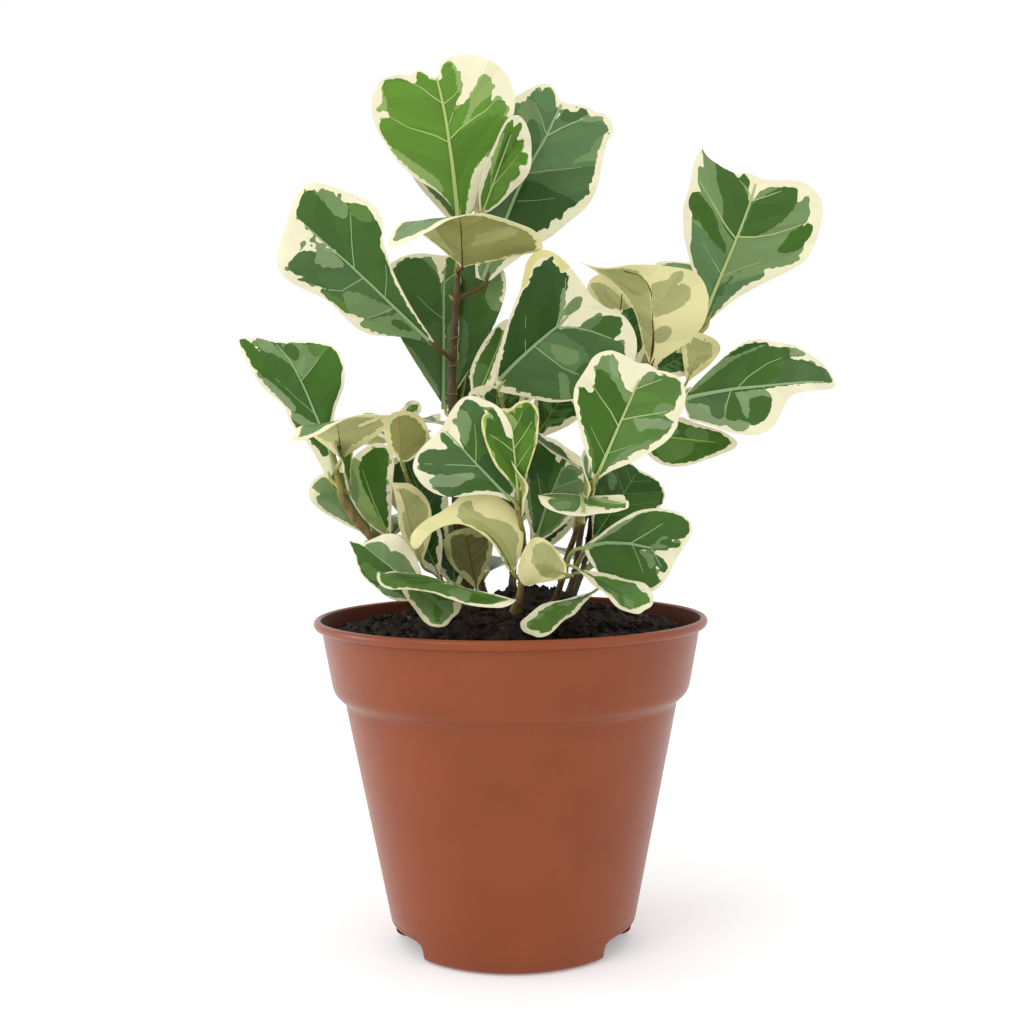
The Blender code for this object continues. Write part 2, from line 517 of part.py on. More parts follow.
def pad(q):
    """Closed pad of one leaf, following its blade."""
    big, cols = q["L"] >= 50, 4 if q["L"] >= 28 and not q.get("plain") else 2
    s = np.array([0.0, 0.3, 0.6, 0.82, 0.975] if big else [0.0, 0.38, 0.76, 0.97])
    rows = len(s) - 1
    t = np.linspace(-1, 1, cols + 1)
    S, T = np.meshgrid(s, t, indexing="ij")
    X = np.where(T < 0, half_width(S, -1, q), half_width(S, 1, q)) * T
    X = np.where(S == 0, T * 1.1, X)
    S = S * apex_line(X, q)
    d = 0.01
    P = blade(q, X, S)
    du = blade(q, X, np.clip(S + d, 0, 1.0)) - blade(q, X, np.clip(S - d, 0, 1.0))
    dv = blade(q, X + 0.2, S) - blade(q, X - 0.2, S)
    N = np.cross(dv, du)
    N /= np.linalg.norm(N, axis=2)[..., None]
    top, low = P + N * PAD / 2, P - N * PAD / 2
    nr, nc = rows + 1, cols + 1
    pts = [*top.reshape(-1, 3), *low.reshape(-1, 3)]
    at = lambda i, j: i * nc + j
    k = nr * nc
    faces = []
    for i in range(rows):
        for j in range(cols):
            faces.append((at(i, j), at(i, j + 1), at(i + 1, j + 1), at(i + 1, j)))
            faces.append((k + at(i, j), k + at(i + 1, j), k + at(i + 1, j + 1), k + at(i, j + 1)))
    loop = ([at(0, j) for j in range(nc)] + [at(i, cols) for i in range(1, nr)]
            + [at(rows, j) for j in range(cols - 1, -1, -1)] + [at(i, 0) for i in range(rows - 1, 0, -1)])
    for a, b in zip(loop, loop[1:] + loop[:1]):
        faces.append((a, k + a, k + b, b))
    return pts, faces


def ring_solid(stem, lo, hi, sides=6):
    """Sleeve round a stem at a leaf node, clear of the stem."""
    a, ra = stem_at(stem, lo)
    b, rb = stem_at(stem, hi)
    t, u, v = frame_of([b[k] - a[k] for k in range(3)])
    r_in = (max(ra, rb) + 2 * GAP) / math.cos(math.pi / sides)
    r_out = r_in + 1.7
    pts = []
    for p, r in ((a, r_in), (a, r_out), (b, r_out), (b, r_in)):
        for j in range(sides):
            w = 2 * math.pi * (j + 0.5) / sides
            pts.append([p[k] + r * (math.cos(w) * u[k] + math.sin(w) * v[k]) for k in range(3)])
    faces = []
    for i in range(4):
        for j in range(sides):
            k = (j + 1) % sides
            a0, b0 = i * sides, ((i + 1) % 4) * sides
            faces.append((a0 + j, a0 + k, b0 + k, b0 + j))
    return pts, faces, r_in + 0.85


for mass, (stem, kind, lo, hi) in MASSES.items():
    if kind == "tip":
        path, radii = stem_piece(stem, lo + GAP, hi, 8.0, extra=0.5)
        body = make(mass, *tube(path, radii, 6, level=(0,)), green)
        reach = None
    else:
        pts, faces, reach = ring_solid(stem, lo, hi)
        body = make(mass, pts, faces, green)
    for q in [q for q in LEAVES if q["mass"] == mass]:
        join_with(body, make("pad_" + q["name"], *pad(q), hide=True))
        M, T, B, N = midrib(q, np.array([0.0, 4.0 / q["L"]]))
        z = min(max(q["base"][2] - 4, lo + 2), hi - 2)
        c = np.array(stem_at(stem, z)[0])
        if reach is not None:
            way = M[0] - c
            way[2] = 0
            way /= np.linalg.norm(way)
            c = c + way * reach
        line = [tuple(c), tuple(M[0]), tuple(M[1])]
        join_with(body, make("stalk_" + q["name"],
                             *tube(line, [PETIOLE * 1.3, PETIOLE * 1.1, PETIOLE * 0.8], 3), hide=True))
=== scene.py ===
"""Potted triangle fig: leaves, stems, soil and pot built round the CAD frame.

Leaves are worked out in their own plane, x across and y along the midrib in
millimetres, cut into patches of plain colour there, and then laid on the
curved blade. Millimetres are turned into metres when the meshes are made.
"""
import json
import math

import bmesh
import bpy
import numpy as np
from mathutils import Matrix, Vector

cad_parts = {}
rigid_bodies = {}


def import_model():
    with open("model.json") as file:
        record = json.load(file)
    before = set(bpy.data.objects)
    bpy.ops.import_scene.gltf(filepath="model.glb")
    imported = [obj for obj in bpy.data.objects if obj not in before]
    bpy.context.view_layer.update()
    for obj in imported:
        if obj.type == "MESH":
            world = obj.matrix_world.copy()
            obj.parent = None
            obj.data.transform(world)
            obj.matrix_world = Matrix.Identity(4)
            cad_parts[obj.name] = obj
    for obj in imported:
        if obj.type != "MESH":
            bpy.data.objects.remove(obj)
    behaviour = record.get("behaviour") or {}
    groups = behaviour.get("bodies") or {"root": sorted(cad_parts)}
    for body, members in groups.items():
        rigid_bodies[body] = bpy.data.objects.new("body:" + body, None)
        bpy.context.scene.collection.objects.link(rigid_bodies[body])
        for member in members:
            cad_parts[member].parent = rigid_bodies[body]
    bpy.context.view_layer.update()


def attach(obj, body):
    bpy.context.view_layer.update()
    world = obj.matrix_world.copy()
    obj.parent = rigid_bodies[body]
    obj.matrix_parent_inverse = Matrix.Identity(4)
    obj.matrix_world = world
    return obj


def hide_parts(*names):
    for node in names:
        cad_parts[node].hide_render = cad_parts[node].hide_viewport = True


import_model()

MM = 0.001

# ---------------------------------------------------------------- stems ----
# Each stem is a smooth curve through stations (x, y, z, radius). The first
# station is the flat cut at the soil, with its root flare.
STEMS = {
    "stem_main": [(-16, 8.6, 126.3, 4.1), (-17.6, 9.2, 136, 2.9), (-20, 10, 165, 2.5),
                  (-22, 10, 205, 2.2), (-20.5, 8, 240, 1.9), (-18, 4, 276, 1.5)],
    "stem_left": [(-28, -6.6, 126.3, 3.7), (-37.5, -8.4, 136, 2.5), (-52, -12, 156, 2.1),
                  (-62, -12, 170, 1.9), (-66, -12, 187, 1.6)],
    "stem_left_inner": [(-24, 4, 126.3, 3.0), (-26.3, 4, 135, 2.2), (-33, -3, 160, 1.9),
                        (-40, -16, 184, 1.4)],
    "stem_low_left": [(-23.5, -22, 126.3, 2.8), (-25.5, -27.5, 131, 2.0), (-28, -33, 137, 1.6)],
    "stem_centre": [(1.5, -19, 126.3, 3.7), (3.6, -23.3, 136, 2.5), (5, -28, 152, 2.1),
                    (3, -37, 171, 1.5)],
    "stem_centre_back": [(0.5, 5.5, 126.3, 3.4), (1, 7, 150, 2.3), (0, 0, 190, 1.9),
                         (-3, -9, 210, 1.5)],
    "stem_right_front": [(15, -13, 126.3, 3.5), (18, -17.5, 136, 2.5), (22, -24, 152, 2.1),
                         (30, -46, 176, 1.5)],
    "stem_right_back": [(22, 14.5, 126.3, 3.8), (25, 15, 138, 2.5), (31, 15, 165, 2.2),
                        (52, 15, 196, 2.0), (66, 12, 219, 1.8), (76, 8, 236, 1.4)],
    "stem_back_left": [(-10, 26, 126.3, 3.4), (-13, 31, 140, 2.3), (-17, 38, 170, 2.0),
                       (-19, 43, 201, 1.4)],
    "stem_back_right": [(23.5, 27.5, 126.3, 3.2), (29.5, 32.5, 140, 2.2), (35, 41, 172, 1.9),
                        (36, 45, 191, 1.4)],
}

# --------------------------------------------------------------- masses ----
# name: (stem, kind, lower height, upper height). A "tip" mass grows on the end
# of its stem, which stops where the mass starts. A "ring" mass sits round a
# leaf node part of the way up, and the stem runs on through it.
MASSES = {
    "leaves_top": ("stem_main", "tip", 256, 277),
    "leaves_top_side": ("stem_main", "ring", 242, 248),
    "leaves_upper_left": ("stem_main", "ring", 219, 225),
    "leaves_main_middle": ("stem_main", "ring", 196, 202),
    "leaves_left_tip": ("stem_left", "tip", 173, 187),
    "leaves_left_low": ("stem_left", "ring", 147, 152),
    "leaves_inner_tip": ("stem_left_inner", "tip", 168, 184),
    "leaves_inner_low": ("stem_left_inner", "ring", 136, 141),
    "leaves_low_left": ("stem_low_left", "tip", 130, 137),
    "leaves_centre_tip": ("stem_centre", "tip", 160, 171),
    "leaves_centre_low": ("stem_centre", "ring", 137, 142),
    "leaves_heart": ("stem_centre_back", "tip", 186, 210),
    "leaves_heart_low": ("stem_centre_back", "ring", 150, 155),
    "leaves_front_tip": ("stem_right_front", "tip", 162, 176),
    "leaves_front_low": ("stem_right_front", "ring", 137, 143),
    "leaves_right_tip": ("stem_right_back", "tip", 225, 236),
    "leaves_right_upper": ("stem_right_back", "ring", 205, 210),
    "leaves_right_middle": ("stem_right_back", "ring", 184, 189),
    "leaves_right_low": ("stem_right_back", "ring", 138, 143),
    "leaves_back_left_tip": ("stem_back_left", "tip", 184, 204),
    "leaves_back_left_low": ("stem_back_left", "ring", 132, 137),
    "leaves_back_right_tip": ("stem_back_right", "tip", 174, 192),
    "leaves_back_right_low": ("stem_back_right", "ring", 134, 139),
}
# --------------------------------------------------------------- leaves ----

# What a leaf is like unless its own line says otherwise. Angles in degrees.
# droop: how far the tip bends back   cup: how far the margins rise
# bend: sideways curve of the midrib  curl: a corner rolled back
# s_: where along the leaf each side is widest   p_: how square its shoulder is
# w_: share of the width each side takes         g_: how full the wedge is
# apex: notch at the tip, a_w its width          d_: how far a shoulder is lowered
PLAIN = dict(droop=15.0, cup_l=12.0, cup_r=12.0, twist=0.0, wave=0.8, waves=2.0,
             phase=0.0, curl_l=0.0, curl_r=0.0, apex=0.03, a_w=0.16,
             s_l=0.74, s_r=0.74, p_l=2.8, p_r=2.8, w_l=1.0, w_r=1.0,
             g_l=1.6, g_r=1.6, d_l=0.0, d_r=0.0, bend=0.0, fold=6.0)

LEAVES = []


def leaf(mass, name, base, lean, nod, roll, length, width, **extra):
    """One leaf: base point, lean (0 up, 90 to the right), nod (towards the
    front), roll about its own midrib (0 shows its face to the front, 180 its
    back), length and greatest width."""
    q = dict(PLAIN)
    q.update(mass=mass, name=name, base=base, lean=lean, nod=nod, roll=roll,
             L=float(length), W=float(width))
    q.update(extra)
    LEAVES.append(q)


def spread(mass, name, base, heading, rise, length, width, tilt=0.0, **extra):
    """A leaf that spreads with its face up. heading: 0 front, 90 right, 180
    back, 270 left; rise: how far above level it points; tilt: turned about
    its own midrib."""
    h, r = math.radians(heading), math.radians(rise)
    a = np.array([math.cos(r) * math.sin(h), -math.cos(r) * math.cos(h), math.sin(r)])
    nod = math.asin(-a[1])
    lean = math.atan2(a[0], a[2])
    e = np.array([math.sin(lean), 0.0, math.cos(lean)])
    n0 = -math.sin(nod) * e - math.cos(nod) * np.array([0.0, 1.0, 0.0])
    b0 = np.cross(a, n0)
    up = np.array([0.0, 0.0, 1.0]) - a[2] * a
    roll = math.degrees(math.atan2(up @ b0, up @ n0)) + tilt
    extra.setdefault("droop", 24.0)
    extra.setdefault("plain", True)
    leaf(mass, name, base, math.degrees(lean), math.degrees(nod), roll, length, width, **extra)


# main stem
leaf("leaves_top", "a1", (-17.5, 4, 276), -2, 6, 0, 59, 56, bend=-14, droop=10, apex=.05,
     cup_l=10, cup_r=10, p_r=3.4, p_l=3.2, s_l=.76, s_r=.78, d_l=.05, g_l=2.2)
leaf("leaves_top", "a2", (-9.5, -1, 279), 20, 8, 40, 38, 26, cup_l=30, cup_r=30, bend=6,
     droop=5, s_l=.58, s_r=.58, apex=0, p_l=1.7, p_r=1.7)
leaf("leaves_top", "a3", (-17, -3, 258.5), 4, 68, 169, 46, 60, cup_l=2, cup_r=2, droop=10,
     curl_r=65, s_l=.5, p_l=1.7)
spread("leaves_top", "a4", (-19, 10, 274), 190, 60, 44, 38)
spread("leaves_top", "a6", (-18, 10, 271), 176, 10, 42, 34)
leaf("leaves_top_side", "a5", (-8, 12, 255.5), 19, -4, 8, 79, 55, droop=12, bend=5,
     s_l=.76, s_r=.8, p_r=3.6, apex=.02, d_l=.08, g_r=2.8)
leaf("leaves_upper_left", "a7", (-29, 0, 229.5), -47, 6, -6, 71, 49, droop=10, cup_l=10,
     cup_r=10, bend=2, s_l=.78, s_r=.8, p_l=3.4, p_r=3.2, apex=.02, d_l=.05)
leaf("leaves_main_middle", "a9", (-25, 16, 205), 0, -5, 0, 64, 50, droop=8, cup_l=10, cup_r=10)
leaf("leaves_main_middle", "a10", (-13, 6, 207), 22, 0, -20, 34, 27, cup_l=25, cup_r=75)
spread("leaves_main_middle", "a8", (-28, 17, 200), 214, 6, 40, 34)
# left stem
leaf("leaves_left_tip", "b1", (-67.5, -12, 179), -14, 5, 0, 60, 37, bend=-24, s_l=.86, s_r=.70,
     p_l=6, p_r=3, w_r=1.05, w_l=.85, d_r=.2, apex=.04)
leaf("leaves_left_tip", "b2", (-62.5, -16, 186), 7, 58, 180, 36, 38, curl_r=60)
spread("leaves_left_tip", "b3", (-70, -6, 188), 178, 18, 40, 34)
leaf("leaves_left_low", "b4", (-46.5, -3, 156.5), -21, 2, 0, 36, 26)
leaf("leaves_left_low", "b5", (-53, 4, 155), -38, 0, 0, 33, 20)
spread("leaves_left_low", "b6", (-50, 1, 152), 186, 22, 42, 34)
# inner left stem
leaf("leaves_inner_tip", "c1", (-40, -19, 185), 0, 30, 180, 26, 20)
leaf("leaves_inner_tip", "c2", (-43, -18, 200), 60, 10, 0, 12, 6, apex=0, p_l=1.7, p_r=1.7)
spread("leaves_inner_tip", "c3", (-41, -10, 190), 183, 18, 30, 24)
leaf("leaves_inner_low", "c4", (-24.5, 6, 146), -22, -1, 0, 46, 26)
leaf("leaves_inner_low", "c5", (-34, -9, 147), -14, 8, 180, 30, 17, p_l=1.7, p_r=1.7, apex=0)
# low left shoot
leaf("leaves_low_left", "d1", (-23, -38, 141), 180, 77, -10, 30, 49)
leaf("leaves_low_left", "d2", (-33, -25, 135), -54, 2, 0, 34, 27, apex=0, s_l=.6, s_r=.6,
     p_l=1.6, p_r=1.6)
leaf("leaves_low_left", "d3", (-42, -36, 144), 122, 20, -35, 28, 17)
# centre stem
leaf("leaves_centre_tip", "e1", (1, -39, 171), -43, 12, 0, 38, 40, g_l=2.2, w_l=1.1)
leaf("leaves_centre_tip", "e2", (3, -43, 174), -5, 8, 0, 32, 20, s_l=.78, s_r=.78, apex=.09,
     p_l=4, p_r=4, d_l=.06)
leaf("leaves_centre_low", "e3", (9.5, -15, 155), 16, 0, 0, 38, 31)
leaf("leaves_centre_low", "e4", (1, -32, 144.5), -22, 10, 180, 40, 24, cup_r=80, bend=105,
     s_l=.7, s_r=.7, w_l=1.2, apex=0, p_l=1.8, p_r=1.8)
# heart of the plant
leaf("leaves_heart", "f1", (-3, -12, 213), 46, 8, 10, 51, 53, droop=14, cup_l=14, cup_r=14,
     w_r=1.25, g_r=2.4, g_l=1.4)
spread("leaves_heart", "f2", (0, 2, 202), 176, 28, 44, 38)
leaf("leaves_heart", "f3", (9, 6, 192), 35, 0, 0, 24, 20)
leaf("leaves_heart", "f6", (-4, -3, 192), -2, 5, 0, 22, 22)
spread("leaves_heart_low", "f5", (2, 14, 158), 165, 35, 38, 32)
leaf("leaves_heart_low", "f4", (-7, 5, 158), -12, 0, 180, 34, 24)
# right front stem
leaf("leaves_front_tip", "g1", (30, -48, 178), 23, 10, 0, 44, 42, p_r=3.4, p_l=3)
leaf("leaves_front_tip", "g2", (28, -29, 180), -53, -4, 75, 28, 18)
leaf("leaves_front_tip", "g3", (25.5, -40, 172.5), 180, 76, 0, 26, 33)
leaf("leaves_front_low", "g4", (27, -34, 153), 90, 10, 0, 38, 33, apex=0, g_l=2)
leaf("leaves_front_low", "g5", (20, -38, 144), -72, 20, 180, 20, 20)
leaf("leaves_front_low", "g6", (24, -38, 146), 116, 30, -60, 31, 19)
# right back stem
leaf("leaves_right_tip", "h1", (77.5, 8, 236.5), 20, 0, 4, 68, 58, apex=.12, a_w=.3, s_l=.62,
     s_r=.72, p_l=6, p_r=3.6, droop=10, d_r=.04, g_r=2.2)
spread("leaves_right_tip", "h2", (75, 14, 237), 172, 52, 42, 36)
leaf("leaves_right_upper", "h3", (55, 0, 221), 22, 33, 190, 46, 48, cup_r=50, bend=50, s_r=.85,
     p_r=5, d_l=.22, apex=0)
leaf("leaves_right_upper", "h4", (66, -9, 207), 82, 8, -6, 60, 42, droop=22, cup_l=8, cup_r=8,
     apex=0, s_l=.5, p_l=1.6, s_r=.42, p_r=1.3, curl_l=25, w_r=1.1, w_l=.9, g_r=2)
spread("leaves_right_upper", "h5", (60, 19, 210), 166, 8, 36, 34)
leaf("leaves_right_middle", "h6", (43, 16, 226), 4, 10, 180, 32, 28)
leaf("leaves_right_middle", "h7", (50, 5, 195), 98, 8, 0, 38, 26)
spread("leaves_right_middle", "h8", (44, 21, 196), 152, 8, 28, 28)
leaf("leaves_right_low", "h9", (32, 2, 153.5), 34, 0, 0, 34, 30)
leaf("leaves_right_low", "h10", (31, -28, 136.8), -114, 37, 66, 34, 18)
spread("leaves_right_low", "h11", (31, 20, 148), 122, 30, 38, 32)
# back left stem
spread("leaves_back_left_tip", "j1", (-19, 45, 201), 185, 70, 44, 40, droop=14)
spread("leaves_back_left_tip", "j2", (-22, 44, 189), 245, 12, 44, 38)
spread("leaves_back_left_tip", "j3", (-14, 46, 192), 150, 18, 42, 36)
spread("leaves_back_left_low", "j4", (-18, 34, 140), 252, 22, 44, 36)
spread("leaves_back_left_low", "j5", (-9, 37, 139), 170, 12, 40, 34)
spread("leaves_back_left_low", "j6", (-16, 37, 144), 212, 46, 34, 28)
# back right stem
spread("leaves_back_right_tip", "k1", (35, 47, 192), 180, 68, 40, 34, droop=14)
spread("leaves_back_right_tip", "k2", (40, 46, 186), 128, 18, 42, 36)
spread("leaves_back_right_low", "k3", (37, 36, 142), 104, 22, 42, 34)
spread("leaves_back_right_low", "k4", (31, 41, 141), 186, 14, 38, 32)
spread("leaves_back_right_low", "k5", (37, 39, 146), 148, 42, 32, 26)


# smaller leaves that fill in round the nodes
leaf("leaves_inner_low", "x1", (-13, -2, 135), -10, 6, 180, 25, 19, apex=0, s_l=.62, s_r=.62)
leaf("leaves_inner_low", "x2", (-27, -4, 140), -22, 2, 0, 22, 15, apex=0)
leaf("leaves_right_upper", "x5", (50, 12, 218), -8, 4, 0, 27, 20, apex=0)
leaf("leaves_right_upper", "x6", (54, 9, 217), 62, 4, 0, 19, 15, apex=0)
leaf("leaves_right_upper", "x7", (69, 6, 214), 22, 8, 180, 20, 15, apex=0)
leaf("leaves_centre_low", "x8", (8, -6, 146), 26, 4, 0, 26, 17, apex=0)

for q in LEAVES:
    if q["name"] == "k3":
        q["L"] = 37.0

# leaves that turn their faces to the sides
leaf("leaves_upper_left", "z1", (-20, 16, 226), 2, -32, 84, 36, 30, plain=True, droop=18)
leaf("leaves_main_middle", "z2", (-22, 17, 203), -3, -44, 97, 38, 32, plain=True, droop=20)
leaf("leaves_heart_low", "z3", (2, 13, 156), 3, -38, 82, 36, 30, plain=True, droop=18)
leaf("leaves_back_left_tip", "z4", (-20, 46, 204), 2, -20, 95, 36, 32, plain=True, droop=14)
leaf("leaves_back_left_low", "z5", (-14, 37, 140), -4, -50, 84, 34, 28, plain=True, droop=22)
leaf("leaves_back_right_tip", "z6", (37, 48, 192), 3, -28, 98, 34, 30, plain=True, droop=16)
leaf("leaves_back_right_low", "z7", (33, 34, 143), 4, 24, 86, 30, 25, plain=True, droop=16)
leaf("leaves_right_upper", "z8", (58, 20, 211), -4, -42, 95, 32, 28, plain=True, droop=20)
leaf("leaves_right_middle", "z9", (46, 20, 190), 2, -47, 82, 32, 27, plain=True, droop=22)
leaf("leaves_right_low", "z10", (27, 20, 145), 3, -40, 96, 32, 28, plain=True, droop=18)
leaf("leaves_left_low", "z11", (-49, -4, 153), 3, -44, 84, 30, 25, plain=True, droop=20)
leaf("leaves_inner_low", "z12", (-29, 9, 142), -2, -34, 98, 32, 26, plain=True, droop=16)
leaf("leaves_inner_low", "x9", (-21, 1, 134), -6, 4, 0, 21, 17, apex=0)
leaf("leaves_front_tip", "z13", (27, -31, 162), 3, 30, 84, 29, 24, plain=True, droop=14)
leaf("leaves_centre_tip", "z14", (4, -29, 161), -3, 26, 97, 29, 24, plain=True, droop=14)
leaf("leaves_left_tip", "z15", (-60, -9, 173), -4, 34, 84, 27, 22, plain=True, droop=14)
def smooth(t):
    t = np.clip(t, 0.0, 1.0)
    return t * t * (3 - 2 * t)


def half_width(s, side, q):
    """Half width at fraction s of the length: a wedge up to the shoulder and
    a rounded cap over it."""
    s0, p, w, g = ((q["s_l"], q["p_l"], q["w_l"], q["g_l"]) if side < 0
                   else (q["s_r"], q["p_r"], q["w_r"], q["g_r"]))
    s = np.clip(s, 0, 1)
    t = np.clip(s / s0, 0, 1)
    low = (1 - (1 - t) ** (g + 0.35)) * np.sqrt(0.30 + 0.70 * t)
    cap = np.clip(1 - np.clip((s - s0) / (1 - s0), 0, 1) ** p, 0, 1) ** (1 / 2.1)
    return w * q["W"] / 2 * np.maximum(np.where(s < s0, low, cap), 0.03)


def apex_line(x, q):
    """Where the blade ends at lateral place x, as a share of the length."""
    return (1 - q["apex"] * np.exp(-(x / (q["a_w"] * q["W"])) ** 2)
            - q["d_l"] * smooth(-x / (0.35 * q["W"]))
            - q["d_r"] * smooth(x / (0.35 * q["W"])))


def midrib(q, s):
    """Points and frames (along, across, out of the face) of the midrib. It
    runs straight on before the base and keeps its bend past the tip."""
    lean, nod, roll = (math.radians(q[k]) for k in ("lean", "nod", "roll"))
    e = np.array([math.sin(lean), 0.0, math.cos(lean)])
    y = np.array([0.0, 1.0, 0.0])
    a = math.cos(nod) * e - math.sin(nod) * y
    n0 = -math.sin(nod) * e - math.cos(nod) * y
    n = n0 * math.cos(roll) + np.cross(a, n0) * math.sin(roll)
    b = np.cross(a, n)
    k = np.linspace(0, 1.2, 73)
    th = math.radians(q["droop"]) * (0.25 * k + 0.75 * k ** 2)
    be = math.radians(q["bend"]) * k
    T = ((np.cos(th) * np.cos(be))[:, None] * a - np.sin(th)[:, None] * n
         + (np.cos(th) * np.sin(be))[:, None] * b)
    T /= np.linalg.norm(T, axis=1)[:, None]
    N = (np.cos(th)[:, None] * n + (np.sin(th) * np.cos(be))[:, None] * a
         + (np.sin(th) * np.sin(be))[:, None] * b)
    N -= (N * T).sum(1)[:, None] * T
    N /= np.linalg.norm(N, axis=1)[:, None]
    B = np.cross(T, N)
    tw = math.radians(q["twist"]) * k
    N2 = N * np.cos(tw)[:, None] + B * np.sin(tw)[:, None]
    B2 = np.cross(T, N2)
    M = np.concatenate([[np.zeros(3)],
                        np.cumsum((T[1:] + T[:-1]) / 2 * q["L"] / 60, axis=0)])
    held = np.clip(s, 0, 1.2)

    def at(A):
        return np.stack([np.interp(held, k, A[:, i]) for i in range(3)], -1)
    past = (np.asarray(s) - held) * q["L"]
    return at(M) + at(T) * past[:, None] + np.asarray(q["base"], float), at(T), at(B2), at(N2)


def blade(q, x, s):
    """Points of the blade at lateral places x (mm) and fractions s."""
    x, s = np.asarray(x, float), np.asarray(s, float)
    M, T, B, N = midrib(q, s.ravel())
    xr, sr = x.ravel(), s.ravel()
    side, ax, half = np.sign(xr), np.abs(xr), q["W"] / 2
    t = ax / half
    cu = np.radians(np.where(side < 0, q["cup_l"], q["cup_r"])) * (0.35 + 0.65 * smooth(sr / 0.5))
    v = math.radians(q["fold"])
    k = np.where(np.abs(cu) < 1e-4, 1e-4, cu)
    lat = side * half * (np.sin(v + k * t) - np.sin(v)) / k
    nor = half * (-np.cos(v + k * t) + np.cos(v)) / k
    nor += (q["wave"] * np.minimum(t, 1.2) ** 2
            * np.sin(2 * np.pi * q["waves"] * sr + q["phase"] + side * 1.3) * smooth(sr / 0.3))
    down, pull_b, pull_t = np.zeros_like(lat), np.zeros_like(lat), np.zeros_like(lat)
    for sd, c in ((-1, q["curl_l"]), (1, q["curl_r"])):
        if c == 0:
            continue
        c = math.radians(c)
        R = 0.45 * half / abs(c)
        d = (sr - 0.55) * q["L"] * 0.75 + np.where(side * sd >= 0, ax, -ax) * 0.75 - 0.225 * half
        d = np.clip(d, 0, None)
        ang = np.minimum(d / R, abs(c))
        rest = d - R * ang
        out = R * np.sin(ang) + rest * np.cos(ang)
        fall = R * (1 - np.cos(ang)) + rest * np.sin(ang)
        down -= math.copysign(1, c) * fall
        pull_b += sd * (out - d) * 0.7
        pull_t += (out - d) * 0.7
    P = M + B * (lat + pull_b)[:, None] + N * (nor + down)[:, None] + T * pull_t[:, None]
    return P.reshape(x.shape + (3,))


def facing(q, x, s):
    """Unit vectors out of the blade's face at those places."""
    du = blade(q, x, s + 0.01) - blade(q, x, s - 0.01)
    dv = blade(q, x + 0.25, s) - blade(q, x - 0.25, s)
    n = np.cross(dv, du)
    return n / np.maximum(np.linalg.norm(n, axis=-1), 1e-9)[..., None]


# ----------------------------------------------------- curves in the plane ----
def curve(points, closed=True, per=6):
    """Smooth curve through control points. A point with a third number is a
    sharp corner."""
    P = np.array([p[:2] for p in points], float)
    sharp = np.array([len(p) > 2 for p in points])
    n = len(P)
    if closed:
        T = (np.roll(P, -1, 0) - np.roll(P, 1, 0)) / 2
    else:
        T = np.gradient(P, axis=0)
    T[sharp] = 0
    out = []
    for i in range(n if closed else n - 1):
        j = (i + 1) % n
        reach = np.linalg.norm(P[j] - P[i])
        a, b = T[i], T[j]
        la, lb = np.linalg.norm(a), np.linalg.norm(b)
        a = a * min(1.0, 1.2 * reach / la) if la > 1e-9 else a
        b = b * min(1.0, 1.2 * reach / lb) if lb > 1e-9 else b
        m = max(2, min(per, int(reach / 0.8) + 1))
        for k in range(m):
            t = k / m
            out.append((2 * t ** 3 - 3 * t ** 2 + 1) * P[i] + (t ** 3 - 2 * t ** 2 + t) * a
                       + (-2 * t ** 3 + 3 * t ** 2) * P[j] + (t ** 3 - t ** 2) * b)
    if not closed:
        out.append(P[-1])
    return np.array(out)


def near(V, line, closed=True):
    """Distance from points to a line, and the place on it that is nearest,
    in steps of its points."""
    A = line if closed else line[:-1]
    B = np.roll(line, -1, 0) if closed else line[1:]
    d = B - A
    dd = np.maximum((d * d).sum(1), 1e-12)
    W = V[:, None, :] - A[None]
    t = np.clip((W * d).sum(-1) / dd, 0, 1)
    D = np.linalg.norm(W - t[..., None] * d, axis=-1)
    k = D.argmin(1)
    i = np.arange(len(V))
    return D[i, k], k + t[i, k]


def inside(V, loop):
    A, B = loop, np.roll(loop, -1, 0)
    x, y = V[:, 0:1], V[:, 1:2]
    over = (A[:, 1] <= y) != (B[:, 1] <= y)
    run = np.where(np.abs(B[:, 1] - A[:, 1]) < 1e-12, 1e-12, B[:, 1] - A[:, 1])
    return (over & (x < A[:, 0] + (y - A[:, 1]) / run * (B[:, 0] - A[:, 0]))).sum(1) % 2 == 1


def depth_in(V, loop):
    """How deep points lie inside a closed loop, negative outside."""
    lo, hi = loop.min(0) - 2.5, loop.max(0) + 2.5
    close = ((V >= lo) & (V <= hi)).all(1)
    f = np.full(len(V), -2.5)
    if close.any():
        d, _ = near(V[close], loop)
        f[close] = np.where(inside(V[close], loop), d, -d)
    return f


def ripple(rng, length, terms=5):
    """Smooth seeded noise over the plane, about -1 to 1, of that wavelength."""
    a = rng.uniform(0, 2 * np.pi, terms)
    k = 2 * np.pi / (length * rng.uniform(0.7, 1.5, terms))
    p = rng.uniform(0, 2 * np.pi, terms)
    return lambda V: np.sin(V[:, 0:1] * np.cos(a) * k + V[:, 1:2] * np.sin(a) * k + p).sum(1) / (
        0.75 * math.sqrt(terms) * 1.4)


